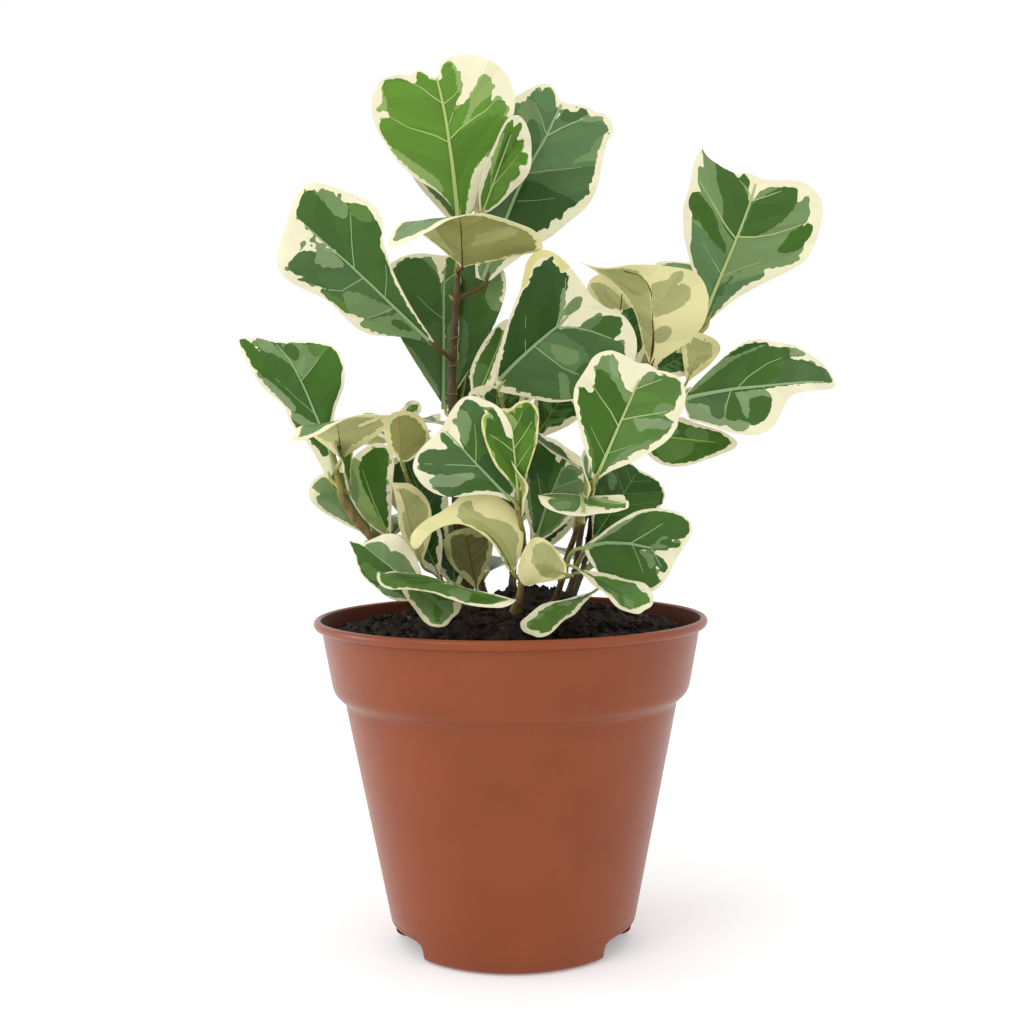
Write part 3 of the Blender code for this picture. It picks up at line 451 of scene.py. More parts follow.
# ------------------------------------------------------------- leaf mesh ----
def lattice(lo, hi, h):
    nx, ny = int((hi[0] - lo[0]) / h) + 2, int((hi[1] - lo[1]) / (h * 0.866)) + 2
    j, i = np.meshgrid(np.arange(ny), np.arange(nx), indexing="ij")
    V = np.stack([lo[0] + (i + 0.5 * (j % 2)) * h, lo[1] + j * h * 0.866], -1).reshape(-1, 2)
    a = (j * nx + i)[:-1, :-1].ravel()
    b, c, d = a + 1, a + nx, a + nx + 1
    odd = (j[:-1, :-1].ravel() % 2).astype(bool)
    T = np.concatenate([np.where(odd[:, None], np.stack([a, b, d], 1), np.stack([a, b, c], 1)),
                        np.where(odd[:, None], np.stack([a, d, c], 1), np.stack([b, d, c], 1))])
    return V, T


def split(V, T, tags, f, eps=0.07):
    """Cuts triangles along the zero line of f. Returns points, triangles,
    their tags and whether each lies where f is positive."""
    f = np.where(np.abs(f) < eps, 0.0, f)
    s = np.sign(f).astype(int)
    S = s[T]
    cut = (S.min(1) < 0) & (S.max(1) > 0)
    if not cut.any():
        return V, T, tags, S.sum(1) > 0
    C, SC, tc = T[cut], S[cut], tags[cut]
    zero = (SC == 0).any(1)
    Z, SZ, tz = C[zero], SC[zero], tc[zero]
    turn = (np.argmax(SZ == 0, axis=1)[:, None] + np.arange(3)) % 3
    Z, SZ = np.take_along_axis(Z, turn, 1), np.take_along_axis(SZ, turn, 1)
    O, SO, to = C[~zero], SC[~zero], tc[~zero]
    turn = (np.argmax(SO == -SO.sum(1)[:, None], axis=1)[:, None] + np.arange(3)) % 3
    O, SO = np.take_along_axis(O, turn, 1), np.take_along_axis(SO, turn, 1)
    E = np.sort(np.concatenate([Z[:, [1, 2]], O[:, [0, 1]], O[:, [0, 2]]]), axis=1)
    U, inv = np.unique(E, axis=0, return_inverse=True)
    inv = inv.ravel() + len(V)
    w = f[U[:, 0]] / (f[U[:, 0]] - f[U[:, 1]])
    V = np.concatenate([V, V[U[:, 0]] + (V[U[:, 1]] - V[U[:, 0]]) * w[:, None]])
    nz, no = len(Z), len(O)
    m, p, r = inv[:nz], inv[nz:nz + no], inv[nz + no:]
    new = [T[~cut],
           np.stack([Z[:, 0], Z[:, 1], m], 1), np.stack([Z[:, 0], m, Z[:, 2]], 1),
           np.stack([O[:, 0], p, r], 1), np.stack([p, O[:, 1], O[:, 2]], 1),
           np.stack([p, O[:, 2], r], 1)]
    marks = [tags[~cut], tz, tz, to, to, to]
    into = [S[~cut].sum(1) > 0, SZ[:, 1] > 0, SZ[:, 2] > 0, SO[:, 0] > 0, SO[:, 1] > 0, SO[:, 1] > 0]
    return V, np.concatenate(new), np.concatenate(marks), np.concatenate(into)


# ---------------------------------------------------------------- colours ----
# tone: (face of the leaf, back of the leaf), as display colours 0 to 255
TONES = {
    "c": ((225, 220, 186), (228, 223, 168)),     # cream
    "y": ((214, 204, 138), (218, 208, 146)),     # yellower cream
    "d": ((55, 92, 25), (150, 156, 88)),         # dark green
    "D": ((39, 75, 16), (134, 138, 76)),         # darkest
    "m": ((78, 115, 44), (160, 164, 98)),        # mid green
    "g": ((105, 131, 80), (172, 174, 116)),      # grey-green
    "p": ((120, 142, 98), (186, 186, 134)),     # pale grey-green
    "u": ((82, 116, 68), (160, 165, 102)),       # bluish green
    "U": ((66, 98, 48), (148, 152, 88)),         # dark bluish green
    "b": ((88, 131, 36), (164, 171, 94)),        # bright young green
    "B": ((76, 120, 20), (156, 164, 84)),        # deeper young green
    "n": ((68, 106, 10), (156, 164, 84)),        # young olive green
    "k": ((132, 160, 86), (180, 184, 124)),      # pale young green
    "v": ((54, 94, 8), (150, 158, 80)),          # vivid dark green
    "o": ((78, 115, 44), (160, 164, 103)),       # seen from the back: olive
    "O": ((55, 92, 25), (146, 147, 86)),         # deep olive
    "q": ((108, 136, 84), (174, 176, 118)),      # pale olive
    # painted shade: the shaded olive below is olive darkened to stand for a leaf deep in shadow
    "s": ((52, 66, 22), (104, 106, 62)),         # shaded olive
    "r": ((229, 222, 182), (227, 221, 162)),     # cream of the back
}
VEINS = {
    "pale": (160, 180, 112), "grey": (138, 164, 116), "cream": (214, 212, 158),
    "young": (166, 188, 108), "brown": (88, 56, 28), "tan": (160, 138, 80),
    "soft_dark": (100, 134, 66), "soft_blue": (106, 138, 86), "soft_young": (132, 164, 72),
}
SHIFTS = (1.0, 0.96, 1.035)       # light variants within one tone
THICK = 0.44

made = {}


def linear(rgb):
    return [((c / 255 + 0.055) / 1.055) ** 2.4 if c > 10 else c / 255 / 12.92 for c in rgb]


def leaf_material(name, rgb, rough, level, bump, scale):
    """Leaf skin: one plain colour, with a fine cell grain and soft puckers in
    its relief."""
    if name in made:
        return made[name]
    m = bpy.data.materials.new(name)
    m.use_nodes = True
    nt = m.node_tree
    p = nt.nodes["Principled BSDF"]
    p.inputs["Base Color"].default_value = (*linear(rgb), 1)
    p.inputs["Roughness"].default_value = rough
    p.inputs["Specular IOR Level"].default_value = level
    tc = nt.nodes.new("ShaderNodeTexCoord")
    fine = nt.nodes.new("ShaderNodeTexVoronoi")
    fine.inputs["Scale"].default_value = scale
    soft = nt.nodes.new("ShaderNodeTexNoise")
    soft.inputs["Scale"].default_value = scale * 0.16
    soft.inputs["Detail"].default_value = 3
    nt.links.new(tc.outputs["Object"], fine.inputs["Vector"])
    nt.links.new(tc.outputs["Object"], soft.inputs["Vector"])
    b1 = nt.nodes.new("ShaderNodeBump")
    b1.inputs["Strength"].default_value = bump
    b1.inputs["Distance"].default_value = 0.0013
    b2 = nt.nodes.new("ShaderNodeBump")
    b2.inputs["Strength"].default_value = bump * 0.5
    b2.inputs["Distance"].default_value = 0.0002
    nt.links.new(soft.outputs["Fac"], b1.inputs["Height"])
    nt.links.new(fine.outputs["Distance"], b2.inputs["Height"])
    nt.links.new(b1.outputs["Normal"], b2.inputs["Normal"])
    nt.links.new(b2.outputs["Normal"], p.inputs["Normal"])
    made[name] = m
    return m


def tone_material(tone, back, shift):
    rgb = [min(255, c * SHIFTS[shift]) for c in TONES[tone][1 if back else 0]]
    if tone in "cyr" and shift:
        rgb = [min(255, c * (0.975 if shift == 1 else 1.012)) for c in TONES[tone][1 if back else 0]]
    return leaf_material("leaf_%s_%s%d" % (NAMES[tone], "back" if back else "face", shift), rgb,
                         0.62 if back else 0.4, 0.15 if back else 0.26, 0.35, 900)


NAMES = {"c": "cream", "y": "cream_edge", "d": "dark", "D": "deep", "m": "mid", "g": "grey",
         "p": "pale", "u": "bluish", "U": "bluish_dark", "b": "young", "B": "young_deep",
         "k": "young_pale", "v": "vivid", "o": "olive", "O": "olive_deep", "q": "olive_pale",
         "r": "cream_back", "n": "young_olive", "s": "olive_shaded"}


def vein_material(tone):
    return leaf_material("vein_" + tone, VEINS[tone], 0.5, 0.25, 0.25, 700)


class Bag:
    """Collects triangles, each with a material, into one mesh."""

    def __init__(self):
        self.v, self.t, self.m, self.sharp, self.n, self.mats = [], [], [], [], 0, []

    def slot(self, mat):
        if mat not in self.mats:
            self.mats.append(mat)
        return self.mats.index(mat)

    def add(self, V, T, mat, sharp=None):
        """mat: one material, or one slot number for each triangle."""
        T = np.asarray(T)
        if not len(T):
            return
        self.v.append(np.asarray(V, float))
        self.t.append(T + self.n)
        self.m.append(np.full(len(T), self.slot(mat)) if not isinstance(mat, np.ndarray) else mat)
        if sharp is not None and len(sharp):
            self.sharp.append(np.asarray(sharp) + self.n)
        self.n += len(V)

    def build(self, name):
        V, T, M = np.concatenate(self.v) * MM, np.concatenate(self.t), np.concatenate(self.m)
        me = bpy.data.meshes.new(name)
        me.vertices.add(len(V))
        me.vertices.foreach_set("co", V.ravel())
        me.loops.add(T.size)
        me.loops.foreach_set("vertex_index", T.ravel().astype(np.int32))
        me.polygons.add(len(T))
        me.polygons.foreach_set("loop_start", np.arange(0, T.size, 3, dtype=np.int32))
        for m in self.mats:
            me.materials.append(m)
        me.polygons.foreach_set("material_index", M.astype(np.int32))
        me.update(calc_edges=True)
        me.shade_smooth()
        if self.sharp:
            S = np.sort(np.concatenate(self.sharp), axis=1).astype(np.int64)
            keys = S[:, 0] * len(V) + S[:, 1]
            E = np.empty(len(me.edges) * 2, dtype=np.int32)
            me.edges.foreach_get("vertices", E)
            E = np.sort(E.reshape(-1, 2), axis=1).astype(np.int64)
            at = me.attributes.new("sharp_edge", "BOOLEAN", "EDGE")
            at.data.foreach_set("value", np.isin(E[:, 0] * len(V) + E[:, 1], keys))
        me.update()
        ob = bpy.data.objects.new(name, me)
        bpy.context.scene.collection.objects.link(ob)
        return ob


def tube_mesh(path, radii, sides, close=True, shape=None):
    """Triangles of a round tube along a path."""
    P, R = np.asarray(path, float), np.asarray(radii, float)
    apart = np.concatenate([[True], np.linalg.norm(np.diff(P, axis=0), axis=1) > 1e-5])
    P, R = P[apart], R[apart]
    shape = None if shape is None else shape[apart]
    T = np.gradient(P, axis=0)
    T[np.linalg.norm(T, axis=1) < 1e-9] = (0.0, 0.0, 1.0)
    T /= np.linalg.norm(T, axis=1)[:, None]
    ref = np.array([0.0, 1.0, 0.0]) if abs(T[:, 1]).max() < 0.9 else np.array([1.0, 0.0, 0.3])
    u = np.cross(T, ref)
    u /= np.linalg.norm(u, axis=1)[:, None]
    v = np.cross(T, u)
    w = np.arange(sides) * 2 * np.pi / sides
    rr = R[:, None] * np.ones(sides) if shape is None else R[:, None] * shape
    V = (P[:, None] + rr[..., None] * (np.cos(w)[None, :, None] * u[:, None]
                                       + np.sin(w)[None, :, None] * v[:, None])).reshape(-1, 3)
    i, j = np.meshgrid(np.arange(len(P) - 1), np.arange(sides), indexing="ij")
    a, b = (i * sides + j).ravel(), (i * sides + (j + 1) % sides).ravel()
    c, d = a + sides, b + sides
    F = [np.stack([a, c, b], 1), np.stack([b, c, d], 1)]
    if close:
        n, k = len(V), np.arange(sides)
        V = np.concatenate([V, P[:1], P[-1:]])
        F.append(np.stack([np.full(sides, n), k, (k + 1) % sides], 1))
        top = (len(P) - 1) * sides
        F.append(np.stack([np.full(sides, n + 1), top + (k + 1) % sides, top + k], 1))
    return V, np.concatenate(F)


# ---------------------------------------------------------------- leaves ----
def outline_of(q, look):
    """Closed outline of the blade, from the left of the base round the tip to
    the right of the base, and the number of its tip point."""
    if "out" in look:
        line = curve(look["out"], closed=False, per=7)
    else:
        s = np.sin(np.linspace(0, np.pi / 2, 60))
        left, right = half_width(s, -1, q), half_width(s, 1, q)
        line = np.concatenate([np.stack([-left, s * apex_line(-left, q) * q["L"]], 1),
                               np.stack([right, s * apex_line(right, q) * q["L"]], 1)[::-1]])
    up = np.where((line[:, 1] > 0.6 * line[:, 1].max()), np.abs(line[:, 0]), 1e9)
    return line, int(up.argmin())


def reach_of(line, tip):
    """Each outline point's place on the margin: -1 at the left of the base,
    0 at the tip and 1 at the right of the base."""
    run = np.concatenate([[0], np.cumsum(np.linalg.norm(np.diff(line, axis=0), axis=1))])
    at = run[tip]
    return np.where(run <= at, run / at - 1, (run - at) / (run[-1] - at)), run


def auto_look(q, rng, look):
    """Colour patches of a leaf by rule: a cream margin of uneven width round a
    green body, with paler and darker sectors between the side veins."""
    kind = rng.choice(["dark", "dark", "blue", "mid", "young"])
    kind = look.get("kind", q.get("kind", kind))
    # the shaded kind is painted shade: a darkened olive for leaves that sit in shadow
    body, spots = {"dark": ("d", "mgvD"), "blue": ("U", "ugmd"), "young": ("B", "Bkbm"), "mid": ("m", "gdup"),
                   "deep": ("D", "dmU"), "under": ("q", "oq"), "shaded": ("s", "so")}[kind]
    k = q["W"] / 45
    marks = np.linspace(-1, 1, 13)
    width = rng.uniform(1.4, 3.6, 13) * (0.55 + 0.45 * k)
    width[rng.integers(4, 9)] += rng.uniform(2, 6) * k
    width[0] = width[-1] = 0.7
    zones = [(body, ("margin", marks, width))]
    ribs = np.arange(0.16, 0.9, rng.uniform(0.12, 0.17))
    for side in (-1, 1):
        for a, b in zip(ribs, ribs[1:]):
            if rng.uniform() < (0.25 if kind in ("under", "shaded") else 0.5):
                r0 = rng.choice([0.0, 0.0, rng.uniform(0.2, 0.5)])
                zones.append((rng.choice(list(spots)),
                              ("sector", side, a + rng.uniform(0, 0.03), b - rng.uniform(0, 0.05),
                               r0, r0 + rng.uniform(0.4, 0.9))))
        if rng.uniform() < 0.4:
            a = rng.uniform(0.45, 0.7)
            zones.append(("c", ("sector", side, a, a + rng.uniform(0.06, 0.12),
                                rng.uniform(0.35, 0.6), 1.4)))
    return zones


def leaf_into(bag, q, look, detail=1.0):
    """Adds one leaf to a bag: both faces, the rim and the veins."""
    rng = np.random.default_rng(sum(ord(c) * 37 ** i for i, c in enumerate(q["name"])) % 100003)
    line, tip = outline_of(q, look)
    sigma, run = reach_of(line, tip)
    L = q["L"]
    h = {True: 0.85, False: 1.05}[q["L"] * q["W"] > 700 and not q.get("plain")] * detail
    if q["L"] * q["W"] < 500:
        h = 0.75 * detail
    V, T = lattice(line.min(0) - h, line.max(0) + h, h)
    tags = np.zeros(len(T), int)
    V, T, tags, keep = split(V, T, tags, depth_in(V, line), eps=0.1)
    T, tags = T[keep], tags[keep]
    order = ["c"]
    zones = look.get("zones") or auto_look(q, rng, look)
    jag = look.get("jag", 0.35)
    rough_edge, lobes = ripple(rng, 2.6), ripple(rng, 6.5)
    scal = rng.uniform(2.6, 4.2)
    shift0 = rng.uniform(0, 3)
    if look.get("ground"):
        order = [look["ground"]]

    def margin_field(marks, width, V):
        d, at = near(V, line)
        at = np.clip(at, 0, len(line) - 1)
        sg = np.interp(at, np.arange(len(line)), sigma)
        mm = np.interp(at, np.arange(len(line)), run)
        w = np.interp(sg, marks, width)
        bite = 1 - np.abs(np.sin(np.pi * mm / scal + shift0 + 0.8 * np.sin(mm / 7.0))) ** 0.7
        return d - w - bite * (0.1 + 0.12 * np.minimum(w, 3)) - 0.3 * rough_edge(V) - 0.35 * lobes(V)

    def sector_field(side, v0, v1, r0, r1, V):
        x = V[:, 0] * side
        d, _ = near(V, line)
        v = (V[:, 1] - 0.62 * np.abs(x) - 0.008 * x ** 2) / L
        r = np.abs(x) / (np.abs(x) + 1.2 * d + 1e-6)
        k = q["W"] / 2
        f = np.minimum.reduce([(v - v0) * L * 0.8, (v1 - v) * L * 0.8, (r - r0) * k, (r1 - r) * k])
        f = f + 0.3 * rough_edge(V) + 0.5 * lobes(V)
        return np.where(x > 0.15, f, -np.abs(f) - 0.2)

    fringe = ripple(rng, 4.5)

    def paint(V, T, tags, f, tone, only):
        """Lays a tone where f is above zero."""
        V, T, tags, ins = split(V, T, tags, f)
        if tone not in order:
            order.append(tone)
        pale = np.array([t in "cyr" for t in order])
        if only == "green":
            ins = ins & ~pale[tags]
        elif only == "cream":
            ins = ins & pale[tags]
        return V, T, np.where(ins, order.index(tone), tags)

    for tone, shape in zones:
        only = None
        if shape[0] == "margin":
            V, T, tags = paint(V, T, tags, margin_field(shape[1], shape[2], V), tone, None)
            continue
        if shape[0] == "sector":
            only = "green" if tone != "c" else None
            V, T, tags = paint(V, T, tags, sector_field(*shape[1:], V), tone, only)
            continue
        only = "green" if tone.endswith("*") else None
        tone, patch = tone[0], curve(shape)

        def field(V):
            return depth_in(V, patch) + jag * rough_edge(V) * 0.8 + 0.25 * jag * lobes(V)

        if only is None and tone in "bBnvdDmuU" and order[0] in "cy":
            V, T, tags = paint(V, T, tags, np.minimum(field(V) + 1.5 * fringe(V) - 0.25,
                                                      depth_in(V, line) - 0.9),
                               "k" if tone in "bBnv" else "g", "cream")
        V, T, tags = paint(V, T, tags, field(V), tone, only)
    shade = np.zeros(len(T), int)
    for s, (length, level) in enumerate(((15.0, 0.25), (11.0, 0.45))):
        if q.get("plain") and s:
            continue
        soft = ripple(rng, length)
        W2 = np.stack([0.42 * V[:, 0], V[:, 1] - 0.62 * np.abs(V[:, 0])], 1)
        both = np.stack([tags, shade], 1)
        V, T, both, ins = split(V, T, both, 3 * (soft(W2) - level))
        tags, shade = both[:, 0], np.where(ins, s + 1, both[:, 1])
    used = np.unique(T)
    new = np.full(len(V), -1)
    new[used] = np.arange(len(used))
    V, T = V[used], new[T]

    # veins, as lines in the plane with a width at each end
    ribs = look.get("veins")
    if ribs is None:
        ribs = auto_veins(q, look, line, rng)
    body = {"b": "young", "U": "blue", "d": "dark"}.get(order[1] if len(order) > 1 else "d", "dark")
    x, y = V[:, 0], V[:, 1]
    s = y / L
    P, N = blade(q, x, s), facing(q, x, s)
    lift = 0.10 * ripple(rng, 16.0)(V)
    for pts, w0, w1 in ribs:
        d, at = near(V, np.asarray(pts, float), closed=False)
        w = w0 + (w1 - w0) * at / max(len(pts) - 1, 1)
        lift = lift - 0.28 * np.minimum(w, 1.2) * np.exp(-(d / (0.7 + 0.6 * w)) ** 2)
    d, _ = near(V, line)
    lift = lift + 0.12 * smooth(d / 2.5) - 0.12
    half = THICK / 2 * (0.45 + 0.55 * smooth(d / 1.6))
    top = P + N * (half + lift)[:, None]
    low = P + N * (lift - half)[:, None]
    E = np.concatenate([T[:, [0, 1]], T[:, [1, 2]], T[:, [2, 0]]])
    owner = np.tile(np.arange(len(T)), 3)
    key = np.sort(E, axis=1)
    _, first, count = np.unique(key, axis=0, return_index=True, return_counts=True)
    rim = first[count == 1]
    Er, k = E[rim], len(V)
    table = np.array([[[bag.slot(tone_material(t, side, sh)) for sh in range(3)] for t in order]
                      for side in (0, 1)])
    quads = np.concatenate([np.stack([Er[:, 0], Er[:, 0] + k, Er[:, 1] + k], 1),
                            np.stack([Er[:, 0], Er[:, 1] + k, Er[:, 1]], 1)])
    rim_tone = table[0][tags[owner[rim]], 0]
    bag.add(np.concatenate([top, low]), np.concatenate([T, T[:, ::-1] + k, quads]),
            np.concatenate([table[0][tags, shade], table[1][tags, shade], rim_tone, rim_tone]),
            sharp=np.concatenate([Er, Er + k]))
    vt = look.get("vein", "soft_" + body if "zones" not in look else "young" if "b" in order else "grey")
    vb = look.get("vein_back", "tan")
    for n, (pts, w0, w1) in enumerate(ribs):
        ribbon(bag, q, pts, w0, w1, 1, vein_material(vt))
        if n == 0:
            ribbon(bag, q, pts, w0 * 1.15, w1, -1, vein_material(look.get("rib_back", vb)), 0.45)
        else:
            ribbon(bag, q, pts, w0, w1, -1, vein_material(vb), 0.15)


def auto_veins(q, look, line, rng):
    L = q["L"]
    top = line[:, 1][np.abs(line[:, 0]).argsort()[:4]].max()
    wide = 1.0 * (0.55 + 0.45 * min(q["W"], 55) / 55)
    y = np.linspace(0.0, 0.93 * top, 12)
    ribs = [(np.stack([np.zeros(12), y], 1), wide, 0.25)]
    for side in (-1, 1):
        v = 0.14 + rng.uniform(0, 0.05)
        while v < 0.86:
            x = np.linspace(0, q["W"] * 0.6, 40)
            p = np.stack([x * side, v * L + 0.62 * x + 0.008 * x ** 2], 1)
            d, _ = near(p, line)
            ok = inside(p, line) & (d > 1.6)
            n = len(p) if ok.all() else int(np.argmin(np.where(np.arange(40) < 3, True, ok)))
            if n > 5:
                ribs.append((p[:n:2], 0.26 * wide, 0.1))
            v += rng.uniform(0.13, 0.17)
    return ribs


def ribbon(bag, q, pts, w0, w1, side, mat, high=0.1):
    """Vein: a tapering ridge that lies on one face of the blade."""
    P = np.asarray(pts, float)
    run = np.concatenate([[0], np.cumsum(np.linalg.norm(np.diff(P, axis=0), axis=1))])
    n = max(3, int(run[-1] / 1.3) + 1)
    at = np.linspace(0, run[-1], n)
    P = np.stack([np.interp(at, run, P[:, 0]), np.interp(at, run, P[:, 1])], 1)
    T = np.gradient(P, axis=0)
    T /= np.linalg.norm(T, axis=1)[:, None]
    C = np.stack([T[:, 1], -T[:, 0]], 1)
    w = w0 + (w1 - w0) * at / run[-1]
    rows = []
    for o, up in ((-1, 0.0), (0, 1.0), (1, 0.0)):
        X = P + C * (o * w / 2)[:, None]
        s = X[:, 1] / q["L"]
        B, N = blade(q, X[:, 0], s), facing(q, X[:, 0], s)
        rows.append(B + N * (side * (THICK / 2 + 0.02 + up * high * np.minimum(1, w / 0.8)))[:, None])
    V = np.stack(rows, 1).reshape(-1, 3)
    i = np.arange(n - 1) * 3
    F = []
    for j in (0, 1):
        a, b, c, d = i + j, i + j + 1, i + j + 3, i + j + 4
        F += [np.stack([a, b, d], 1), np.stack([a, d, c], 1)]
    F = np.concatenate(F)
    bag.add(V, F if side > 0 else F[:, ::-1], mat)

# ---------------------------------------------- looks of single leaves ----
# out: outline from the left of the base to the right of the base
# zones: patches laid one over another, a tone and the patch's outline; a star
# keeps a patch off the cream
# veins: lines with a width at each end; all in millimetres
LOOK = {}

LOOK["a1"] = dict(
    out=[(-1.2, 0), (-2.4, 4), (-5.2, 9), (-9.5, 13.5), (-15, 17.5), (-19, 22), (-22.5, 27), (-25, 33),
         (-27.3, 39), (-28, 45), (-27.3, 51), (-25, 56), (-21, 59.8), (-15, 60.6), (-10, 59.3), (-8, 59.8),
         (-6, 60.3), (-4.3, 58.8), (-2.5, 56.8), (-0.6, 55.6, 1), (0.6, 56.8), (2.5, 60), (6, 61.2),
         (11, 60.6), (17, 58), (22, 54.2), (25.5, 49.5), (26.8, 44), (26.3, 38.5), (24, 33.5), (19.5, 27),
         (14.5, 21), (10.5, 16.5), (7.5, 11.5), (5.2, 6), (2, 1.5), (1, 0)],
    zones=[
        ("b", [(-1.3, 0.5), (-3, 5), (-5.5, 10), (-9, 14), (-14, 19), (-19, 24.5), (-22.5, 30), (-25, 35),
               (-26.6, 40), (-25.3, 43.2), (-21.6, 43.6, 1), (-22.3, 46.2), (-24.8, 48), (-24, 50.3),
               (-22, 52.8), (-21.8, 56.5), (-20, 59.1), (-16.5, 59.3), (-13, 58.2), (-9.7, 55.2, 1),
               (-8.2, 56), (-7.7, 58.6), (-6.2, 59.7), (-4.6, 58), (-2.6, 55.3), (-0.8, 54.6), (1.3, 54.8),
               (1.8, 57.5), (3.8, 59.4), (6.5, 59.2), (8, 56.5), (8.3, 52), (7.4, 48.5), (5, 45),
               (2.6, 41.5, 1), (5.5, 42.8), (9.8, 45.2), (11, 46.5), (14, 49.3), (16, 50.7), (19, 50.2),
               (19.8, 47.5), (18.4, 44), (18, 42, 1), (20.5, 41.3), (22.4, 40.8), (23, 38), (21.6, 36),
               (22.6, 34.2), (20.5, 32), (17, 27.5), (12, 23.5), (8, 20.5), (5.2, 16), (3.2, 10), (2.2, 5),
               (1, 0.5)]),
        ("B*", [(0, 1), (-0.5, 31), (8, 35), (14, 37), (20, 36), (21, 33), (16, 27), (8, 21), (4, 14), (2, 4)]),
        ("k", [(-6.5, 12), (-10, 14.8), (-15, 19.5), (-20, 25), (-24, 31.5), (-22, 31), (-17, 26),
               (-13, 22.5), (-8, 17.5), (-6, 13.5)]),
        ("k*", [(4.5, 36), (8.5, 40.5), (10.5, 46), (13, 49), (16, 51), (20.3, 50.5), (20.3, 47), (18, 44),
                (13.5, 42), (9.5, 39), (7, 36)]),
        ("k*", [(-23, 46), (-25.2, 48), (-24.5, 51), (-21.8, 53.2), (-21.5, 50)]),
        ("k*", [(6, 50), (7, 54), (6.5, 58.5), (8.8, 58), (8.9, 51), (7, 47)])],
    veins=[([(-1.3, 0), (-1.5, 15), (-1.3, 30), (-0.8, 42), (-0.6, 50), (-0.6, 55.3)], 1.7, 0.8),
           ([(-1.2, 30.5), (-6, 34), (-11, 36.5), (-16, 39), (-21.5, 44)], 0.55, 0.3),
           ([(-0.8, 45.5), (-4, 49), (-7, 53), (-9.5, 55.2)], 0.5, 0.3),
           ([(-0.4, 32), (4, 35), (10, 37.5), (15, 39), (19, 41.3)], 0.6, 0.3),
           ([(-0.4, 45.3), (4, 47), (7.5, 49.5)], 0.45, 0.3), ([(-0.2, 37), (2.5, 41.5)], 0.4, 0.3)],
    vein="young", jag=0.3)

# The bluish green of this blade is partly its own colour and partly painted sheen.
LOOK["a5"] = dict(
    out=[(-4.4, -1), (-6.8, 5), (-10, 14), (-15, 26), (-19, 38), (-21, 50), (-19.5, 60), (-16.5, 68),
         (-13.5, 73), (-10, 78), (-7.5, 81), (-4.5, 82.6), (-1.5, 82), (0.8, 79.8), (3, 78.6), (7, 79),
         (11, 80.2), (15, 79.8), (17.5, 79.2), (20, 79.8), (22.8, 78.4), (25, 76.5), (26.2, 73), (25.8, 68),
         (26.6, 62), (27.6, 56), (28.4, 50), (28.2, 44), (26.8, 39), (24, 34), (21, 29), (18, 24),
         (13.5, 18.5), (9, 12), (5, 6), (1.8, 0.5), (0, -1)],
    zones=[
        ("u", [(-3.2, 0), (-5, 5), (-8, 13), (-13, 26), (-17, 40), (-18, 50), (-17, 60), (-14.5, 66),
               (-11.5, 70.5), (-10, 73), (-9.5, 76.5), (-8, 78), (-6.6, 77.2), (-5.6, 80), (-4.2, 81.4),
               (-1.5, 81), (0.6, 78), (2.2, 75, 1), (3.4, 70, 1), (4.8, 74), (6, 76.3), (8, 75.6),
               (9.6, 76.2), (10.6, 78.4), (12.2, 78.8), (14, 77.6), (12.5, 74, 1), (15, 76), (18.5, 77.8),
               (20, 78.4), (21, 77.4), (20.5, 76, 1), (23.5, 74.9), (24.4, 73), (23.5, 70), (24, 66),
               (23.2, 63.6), (24.5, 61.5), (24, 59), (25.5, 55), (25.2, 50), (25.8, 46), (25, 42.5),
               (22.5, 39), (20, 35.5), (17, 31), (14, 26), (10, 20.5), (6.5, 14.5), (3, 7), (0.2, 0)]),
        ("U*", [(-4, 48), (3, 45.3), (9, 49), (15, 52), (20, 55), (26, 57), (27, 50), (26, 42), (20, 33),
                (14, 24), (0, 20), (-12, 22), (-18, 36), (-18, 50), (-12, 56)]),
        ("D*", [(-1, 22), (0, 40), (6, 43), (12, 42), (18, 41.5), (23, 40), (20, 34), (15, 26), (8, 19)]),
        # painted sheen: the grey-green and pale blobs below stand for gloss on the blade
        ("g*", [(16, 55), (17.5, 59), (20.5, 62), (21.3, 67), (22.8, 70.5), (24.5, 68), (23.5, 64),
                (24.5, 60), (21, 58.3)]),
        ("g*", [(-12, 66), (-10.5, 71.8), (-6, 72.5), (-3, 69), (-0.5, 65.5), (-5, 66), (-8, 62)]),
        ("p*", [(12.2, 73.8), (14, 75.5), (17, 77.2), (20, 78.8), (21.5, 77.3), (19, 75.7), (15, 73.8)]),
        ("g*", [(-4, 0), (-6, 5), (-8, 12), (-5, 16), (0, 17), (5, 14), (3, 7), (0, 0)]),
        ("D*", [(-1, 14), (2, 18.5), (8, 22), (9.5, 20.5), (5, 15.5), (2, 13.5)]),
        ("U*", [(5, 71), (5.5, 77), (9, 76), (11, 79.3), (14.3, 78), (12, 74), (8, 71)]),
        ("U*", [(-6.5, 60), (-6, 66), (-2, 64), (1, 60), (0, 52), (-4, 56)])],
    veins=[([(-1.8, -0.5), (-1.2, 10), (-1, 20), (-0.5, 35), (0.5, 48), (1.8, 57), (2.5, 62), (2.8, 70),
             (3.2, 77)], 1.5, 0.9),
           ([(2.4, 62), (7, 68), (13, 74.3)], 0.9, 0.6), ([(2, 63), (-2, 68), (-5, 71)], 0.6, 0.3),
           ([(1, 45), (8, 49), (15, 52.5), (20, 55)], 0.4, 0.2), ([(1, 33), (8, 36), (16, 40)], 0.25, 0.12)],
    vein="grey", stalk="brown", jag=0.3)

